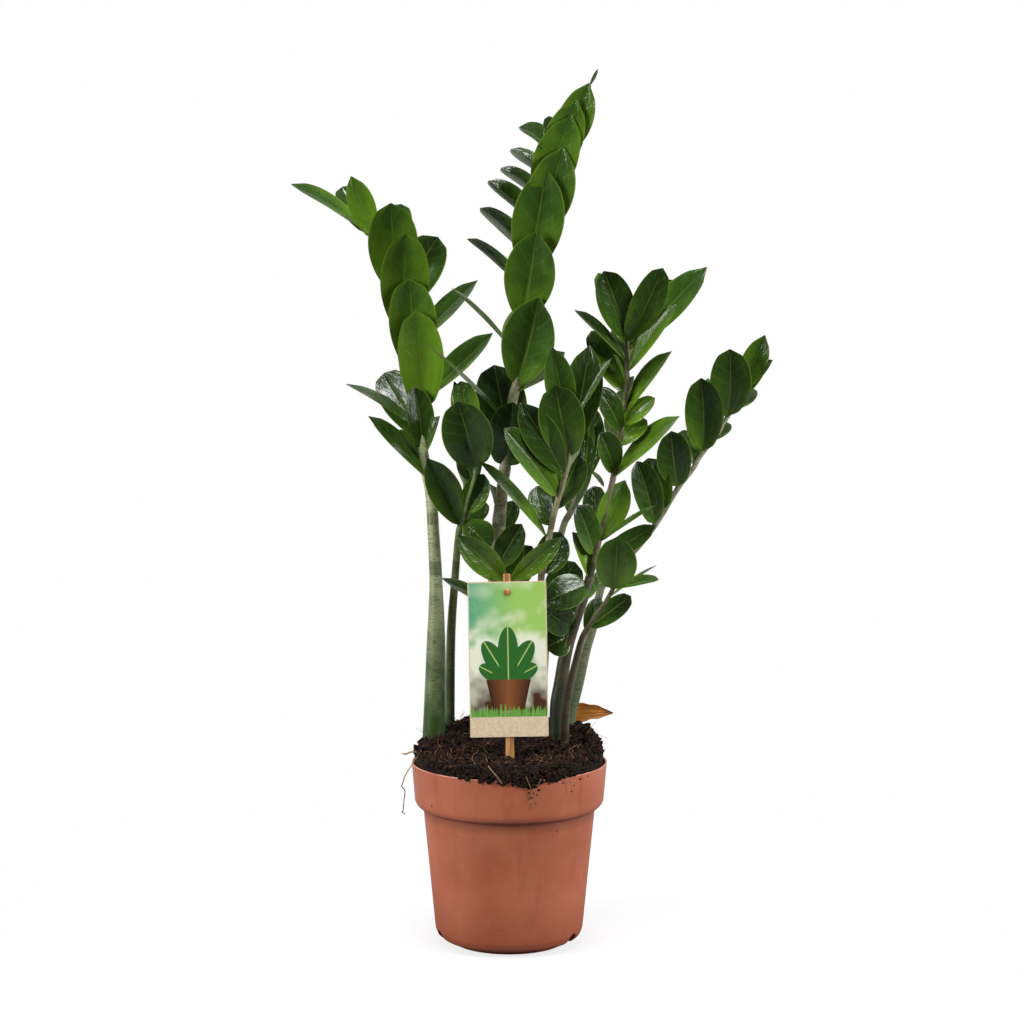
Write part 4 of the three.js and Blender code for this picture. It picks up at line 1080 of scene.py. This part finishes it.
def on_pot_wall(pixel):
    """The point of the pot's front wall that appears at this pixel."""
    point = seen(pixel, -RIM_RADIUS)
    for _ in range(5):  # each round comes closer to the wall
        height = point.z / MM
        if height > BAND_FOOT:
            radius = mix(BAND_RADIUS, RIM_RADIUS, (height - BAND_FOOT) / (POT_HEIGHT - BAND_FOOT))
        else:
            radius = mix(BODY_FOOT_RADIUS, BODY_TOP_RADIUS, (height - BODY_FOOT) / (STEP_HEIGHT - BODY_FOOT))
        point = seen(pixel, -math.sqrt(radius**2 - (point.x / MM) ** 2))
    return point


def stray_crumbs(material):
    """The crumbs on the pot's wall, as one piece."""
    bm = bmesh.new()
    for number, (column, row, size) in enumerate(STRAY_CRUMBS):
        crumb = crumb_mesh(number % CRUMB_FORMS)
        crumb.transform(Matrix.Translation(on_pot_wall((column, row))) @ Matrix.Scale(size * MM, 4))
        bm.from_mesh(crumb)
    part_of_plant(piece_from(bm, "stray_crumbs", material, smooth=False), "peat_soil")


# Loose roots and straws that stand out in the front view: width in mm, and places as (column, row, depth).
LOOSE_STRANDS = {
    "hanging_root": (0.9, [(424, 746, -16), (415, 760.5, -26), (408.7, 769.5, -28), (404.6, 777, -28),
                           (402.5, 783.6, -28), (401.7, 786.4, -28), (404.9, 791.2, -28), (403.9, 801, -28),
                           (403.2, 809.7, -28), (402, 812, -28), (405.5, 814, -28)]),
    "front_straw": (0.9, [(488, 766, -84), (493, 772, -88), (498, 778, -88.5), (502, 784, -88)]),
    "front_root_long": (0.6, [(526, 777, -86), (530, 786, -85.2), (532, 796, -84.3), (537, 808, -83.2)]),
    "front_root_short": (0.5, [(541, 779, -85.6), (537, 788, -84.9), (533, 797, -84.1), (528, 803, -83.5)]),
    "front_root_right": (0.5, [(566, 776, -73.5), (571, 784, -71.2), (572, 793, -70.4)]),
    "soil_straw_left": (0.9, [(449, 742, 8), (458, 738, 14), (468, 740, 10), (477, 744, 2)]),
    "soil_straw_middle": (0.8, [(472, 756, -32), (482, 751, -20), (493, 753, -26), (499, 761, -45)]),
    "soil_straw_right": (1.0, [(538, 756, -34), (546, 751, -22), (554, 753, -28)]),
    "left_twig": (1.4, [(418, 752, -12), (411, 752, -10), (406, 754, -8), (402.5, 753.5, -6)]),
}


STRAND_STEPS = 6  # between two listed places


def loose_strands():
    """The loose roots and straws, each as thick as listed, with a thinner end."""
    brown = dry_fibre("brown_root", "#644630", "#a07c58")
    for name, (width, places) in LOOSE_STRANDS.items():
        points = [seen((column, row), depth) for column, row, depth in places]
        line = smooth_line(points, [width / 2 * MM] * len(points), STRAND_STEPS)
        line[-1] = (points[-1], width / 3 * MM)
        part_of_plant(swept(name, line, brown, 8, 0.35 * MM, every(1.1)), "peat_soil")


# ---- Pot ----

POT_SIDES = 180
DROOP = 0.35  # how far the rim is out of level and out of round
WOBBLE = 0.3
SHARP_ANGLE = math.radians(50)
NOTCH_STEPS = 12  # along the arch
OUTER_WALL = [
    (FOOT_RADIUS - 3, 0), (FOOT_RADIUS, 0.2), (FOOT_RADIUS + 0.8, FOOT_DEPTH),
    (BODY_FOOT_RADIUS - 6.6, FOOT_DEPTH), (BODY_FOOT_RADIUS - 2.7, FOOT_DEPTH + 3),
    (BODY_FOOT_RADIUS - 0.7, FOOT_DEPTH + 7.5), (BODY_FOOT_RADIUS, BODY_FOOT),
    (mix(BODY_FOOT_RADIUS, BODY_TOP_RADIUS, 0.5), mix(BODY_FOOT, STEP_HEIGHT, 0.5)),
    (BODY_TOP_RADIUS, STEP_HEIGHT - 1), (BODY_TOP_RADIUS + 0.3, STEP_HEIGHT + 1.8),
    (BAND_RADIUS - 4.4, STEP_HEIGHT + 2), (BAND_RADIUS - 1.8, BAND_FOOT - 5),
    (BAND_RADIUS - 0.4, BAND_FOOT - 2.5), (BAND_RADIUS, BAND_FOOT),
    (mix(BAND_RADIUS, RIM_RADIUS, 0.5), mix(BAND_FOOT, POT_HEIGHT, 0.5)),
    (RIM_RADIUS, POT_HEIGHT - 0.5),
]
INNER_WALL = [
    (RIM_RADIUS - WALL, POT_HEIGHT - 0.5), (BAND_RADIUS - WALL, BAND_FOOT),
    (BAND_RADIUS - 3.6, BAND_FOOT - 2.4), (BODY_TOP_RADIUS - 0.8, STEP_HEIGHT + 3.4),
    (BODY_TOP_RADIUS - WALL, STEP_HEIGHT - 2), (BODY_FOOT_RADIUS - WALL, BODY_FOOT),
    (BODY_FOOT_RADIUS - WALL - 0.7, FOOT_DEPTH + 8.2), (BODY_FOOT_RADIUS - WALL - 5.6, FOOT_DEPTH + 2),
    (FOOT_RADIUS - 1, FOOT_DEPTH + 2), (FOOT_RADIUS - 1.6, 2.2), (10, 2.2),
]


def softened(profile, reach=0.9, steps=3):
    """The profile with each corner rounded off by a short curve."""
    points = [Vector(place) for place in profile]
    soft = [points[0]]
    for before, corner, after in zip(points, points[1:], points[2:]):
        start = corner + (before - corner).normalized() * min(reach, (before - corner).length / 3)
        end = corner + (after - corner).normalized() * min(reach, (after - corner).length / 3)
        for step in range(steps + 1):
            t = step / steps
            soft.append(start * (1 - t) ** 2 + corner * 2 * t * (1 - t) + end * t**2)
    return soft + [points[-1]]


def notch_tool(degrees):
    """A prism with an arched top, which cuts a drain notch through the bottom corner."""
    half = NOTCH_WIDTH / 2
    outline = [(-half, -1), (half, -1)]
    for step in range(NOTCH_STEPS + 1):
        angle = math.pi * step / NOTCH_STEPS
        outline.append((half * math.cos(angle), NOTCH_TOP - half + half * math.sin(angle)))
    outward = around(1, math.radians(degrees))
    sideways = around(1, math.radians(degrees + 90))
    rings = []
    for reach in (NOTCH_INNER_RADIUS, BODY_FOOT_RADIUS + 5):
        rings.append([(outward * reach + sideways * x + Vector((0, 0, z))) * MM for x, z in outline])
    return piece_from(tube(rings), "notch_tool")


def cut(piece, tools, *materials):
    """Cuts the tools out of the piece and removes them, and gives the piece these materials."""
    for tool in tools:
        modifier = piece.modifiers.new("cut", "BOOLEAN")
        modifier.operation = "DIFFERENCE"
        modifier.solver = "EXACT"
        modifier.object = tool
    graph = bpy.context.evaluated_depsgraph_get()
    mesh = bpy.data.meshes.new_from_object(piece.evaluated_get(graph), depsgraph=graph)
    piece.modifiers.clear()
    piece.data = mesh
    for tool in tools:
        bpy.data.objects.remove(tool)
    mesh.materials.clear()
    for material in materials:
        mesh.materials.append(material)


def pot():
    """One thin moulding, turned from its profile, a little out of round at the rim."""
    rings = []
    for radius, height in softened(OUTER_WALL + INNER_WALL):
        rise = (height / POT_HEIGHT) ** 2
        ring = []
        for angle in turns(POT_SIDES):
            droop = DROOP * math.sin(2 * angle + 0.6) * rise
            wobble = WOBBLE * math.sin(3 * angle + 1.2) * rise
            ring.append(around(radius + wobble, angle, height + min(droop, 0)) * MM)
        rings.append(ring)
    piece = piece_from(tube(rings), "moulded_pot")
    cut(piece, [notch_tool(degrees) for degrees in NOTCH_ANGLES], pot_plastic())
    piece.data.set_sharp_from_angle(angle=SHARP_ANGLE)
    part_of_plant(piece, "pot_plastic", "pot")


# ---- Label ----
# Its parts are drawn upright in millimetres, from the place where the stick enters the soil.

LABEL_PLACE = Matrix.Translation(seen(LABEL_ENTRY, LABEL_DEPTH)) @ Matrix.Rotation(LABEL_TILT, 4, "Y")
CARD_BACK = -STICK_THICKNESS / 2 - GAP
CARD_FRONT = CARD_BACK - CARD_THICKNESS
CARD_BEVEL = 0.12
STICK_BEVEL = 0.45
PEG_SIDES = 32


def on_label(bm, name, material=None, smooth=False):
    """A piece in its place on the label."""
    bmesh.ops.transform(bm, matrix=LABEL_PLACE @ Matrix.Scale(MM, 4), verts=bm.verts)
    return piece_from(bm, name, material, smooth)


def bevelled_box(low, high, bevel):
    """A box between two corners, with rounded edges."""
    bm = bmesh.new()
    bmesh.ops.create_cube(bm, size=1)
    for vert in bm.verts:
        vert.co = [mix(low[i], high[i], vert.co[i] + 0.5) for i in range(3)]
    bmesh.ops.bevel(bm, geom=bm.edges, offset=bevel, segments=2, affect="EDGES", clamp_overlap=True)
    return bm


def round_peg(profile):
    """A short round peg along -Y at the peg's height, turned from (radius, place along Y)."""
    rings = []
    for size, y in profile:
        circle = [around(size, angle) for angle in turns(PEG_SIDES)]
        rings.append([(point.x, y, PEG_HEIGHT + point.y) for point in circle])
    return tube(rings)


def label_card():
    """A square-cornered card, printed on its front, with a hole for the peg."""
    half = CARD_WIDTH / 2
    bm = bevelled_box((-half, CARD_FRONT, CARD_LIFT), (half, CARD_BACK, CARD_LIFT + CARD_HEIGHT), CARD_BEVEL)
    uv_layer = bm.loops.layers.uv.new("UVMap")
    for face in bm.faces:
        for loop in face.loops:
            x, z = loop.vert.co.x, loop.vert.co.z
            loop[uv_layer].uv = ((x + half) / CARD_WIDTH, (z - CARD_LIFT) / CARD_WIDTH)
    card = on_label(bm, "plant_label_card")
    hole = round_peg([(PEG_RADIUS + GAP, 2), (PEG_RADIUS + GAP, -6)])
    cut(card, [on_label(hole, "hole_tool", smooth=True)], kraft_card(), printed_card())
    for polygon in card.data.polygons:
        polygon.material_index = 1 if polygon.normal.y < -0.9 else 0
    part_of_plant(card, "label_card", "label_card")


def label_stick():
    """A split wooden stick with a cut top, and the peg that holds the card."""
    wood = split_wood()
    half, deep = STICK_WIDTH / 2, STICK_THICKNESS / 2
    bm = bevelled_box((-half, -deep, -BURIED), (half, deep, STICK_TOP), STICK_BEVEL)
    for vert in bm.verts:
        if vert.co.z > STICK_TOP - 1:
            vert.co.x *= 0.8
            vert.co.z -= 3 * (abs(vert.co.x) / half) ** 2
    part_of_plant(on_label(bm, "plant_label_stick", wood), "label_wood", "label_stick")
    foot = CARD_FRONT - 0.1
    profile = [(PEG_RADIUS, -deep), (PEG_RADIUS, foot), (PEG_HEAD_RADIUS, foot)]
    for share in (0.25, 0.5, 0.75, 0.95):
        profile.append((PEG_HEAD_RADIUS * math.sqrt(1 - share**2), foot - PEG_STAND_OUT * share))
    part_of_plant(on_label(round_peg(profile), "plant_label_peg", wood, smooth=True), "label_wood")


# ---- Dry sheath ----

SHEATH_STATIONS = 40
SHEATH_COLUMNS = 16
SHEATH_HALF_THICKNESS = 0.28


def dry_sheath():
    """A papery sheath, curled along its length, with a torn wavy edge. Its base is in the soil."""
    root = seen(SHEATH_BASE, SHEATH_DEPTH)
    reach = seen(SHEATH_TIP, SHEATH_DEPTH + SHEATH_BEHIND) - root
    axis = reach.normalized()
    normal = upper_side(axis, SHEATH_ROLL)
    bm = bmesh.new()
    uv_layer = bm.loops.layers.uv.new("UVMap")
    for side in (1, -1):
        rows = []
        for along in [station / SHEATH_STATIONS for station in range(SHEATH_STATIONS + 1)]:
            half = SHEATH_WIDTH / 2 * MM * max(math.sin(math.pi * along**0.8), 0.03) ** 0.75
            bow = math.sin(math.pi * along)
            row = []
            for edge in [-1 + 2 * column / SHEATH_COLUMNS for column in range(SHEATH_COLUMNS + 1)]:
                ragged = 1 + 0.08 * math.sin(23 * along + 3 * edge) * abs(edge) ** 3
                fold = 0.35 * half * edge**2 + 0.25 * MM * math.sin(14 * edge + 3 * along)
                thick = SHEATH_HALF_THICKNESS * MM * (1 - edge**8) * min(1, 12 * (1 - along) + 0.1)
                point = root + reach * along + axis.cross(normal) * edge * half * ragged
                point += normal * (0.05 * reach.length * bow + fold + side * thick)
                point.z += SHEATH_RISE * MM * bow
                row.append(bm.verts.new(point))
            rows.append(row)
        for s in range(SHEATH_STATIONS):
            for c in range(SHEATH_COLUMNS):
                corners = [(s, c), (s, c + 1), (s + 1, c + 1), (s + 1, c)]
                face = bm.faces.new([rows[i][j] for i, j in corners])
                for loop, (i, j) in zip(face.loops, corners):
                    loop[uv_layer].uv = (j / SHEATH_COLUMNS, i / SHEATH_STATIONS)
    bmesh.ops.remove_doubles(bm, verts=bm.verts, dist=0.02 * MM)
    bmesh.ops.holes_fill(bm, edges=[edge for edge in bm.edges if edge.is_boundary], sides=0)
    part_of_plant(piece_from(bm, "dry_papery_leaf", papery_sheath()), "dry_sheath", "dry_leaf")


# ---- Camera, light and floor ----

FLOOR_REACH = 0.42
LIGHTS = {  # place, width in metres and power in watts
    "left_light": ((-1.8, -0.9, 1.0), 1.1, 42),
    "right_light": ((1.8, -0.8, 1.0), 1.1, 40),
    "top_light": ((0.0, -0.5, 2.4), 0.75, 30),
}
LIT_POINT = Vector((0, 0, 0.35))


def camera():
    """The eye of the front view."""
    data = bpy.data.cameras.new("camera")
    data.sensor_width = SENSOR
    data.lens = SENSOR * FOCAL_PIXELS / IMAGE
    eye = linked("camera", data)
    eye.location = EYE
    eye.rotation_euler = (math.pi / 2 - PITCH, 0, 0)
    bpy.context.scene.camera = eye


def soft_light(name, place, width, power):
    """A round soft light that faces the plant."""
    data = bpy.data.lights.new(name, "AREA")
    data.shape = "DISK"
    data.size = width
    data.energy = power
    lamp = linked(name, data)
    lamp.location = place
    lamp.rotation_euler = (LIT_POINT - Vector(place)).to_track_quat("-Z", "Y").to_euler()


def floor():
    """Plain white paper, which gives off light only where it is seen directly."""
    material, tree, surface = new_material("white_studio_paper")
    in_view = add(tree, "LightPath", out="Is Camera Ray")
    white = add(tree, "Math", (in_view, 0.75), operation="MULTIPLY")
    fill(surface, {"Base Color": "#808080", "Roughness": 0.9})
    fill(surface, {"Emission Color": "#ffffff", "Emission Strength": white})
    mesh = bpy.data.meshes.new("floor")
    corners = [(x * FLOOR_REACH, y * FLOOR_REACH, 0) for x, y in ((-1, -1), (1, -1), (1, 1), (-1, 1))]
    mesh.from_pydata(corners, [], [(0, 1, 2, 3)])
    mesh.materials.append(material)
    linked("floor", mesh)


def studio():
    """A pale floor, a white surround that lights most from the rear, and three large soft lights."""
    floor()
    world = bpy.data.worlds.new("white_surround")
    world.use_nodes = True
    bpy.context.scene.world = world
    tree = world.node_tree
    direction = add(tree, "TexCoord", out="Generated")
    rearward = add(tree, "SeparateXYZ", (direction,), 1)
    glow = add(tree, "MapRange", (rearward, -0.2, 0.7, 0.05, 0.9))
    in_view = add(tree, "LightPath", out="Is Camera Ray")
    strength = add(tree, "Math", (in_view, glow), operation="MAXIMUM")
    fill(tree.nodes["Background"], {"Color": "#ffffff", "Strength": strength})
    bpy.context.scene.view_settings.view_transform = "Standard"
    for name, (place, width, power) in LIGHTS.items():
        soft_light(name, place, width, power)


# ---- The plant ----

camera()
studio()
pot()
soil()
loose_strands()
fronds()
dry_sheath()
label_card()
label_stick()
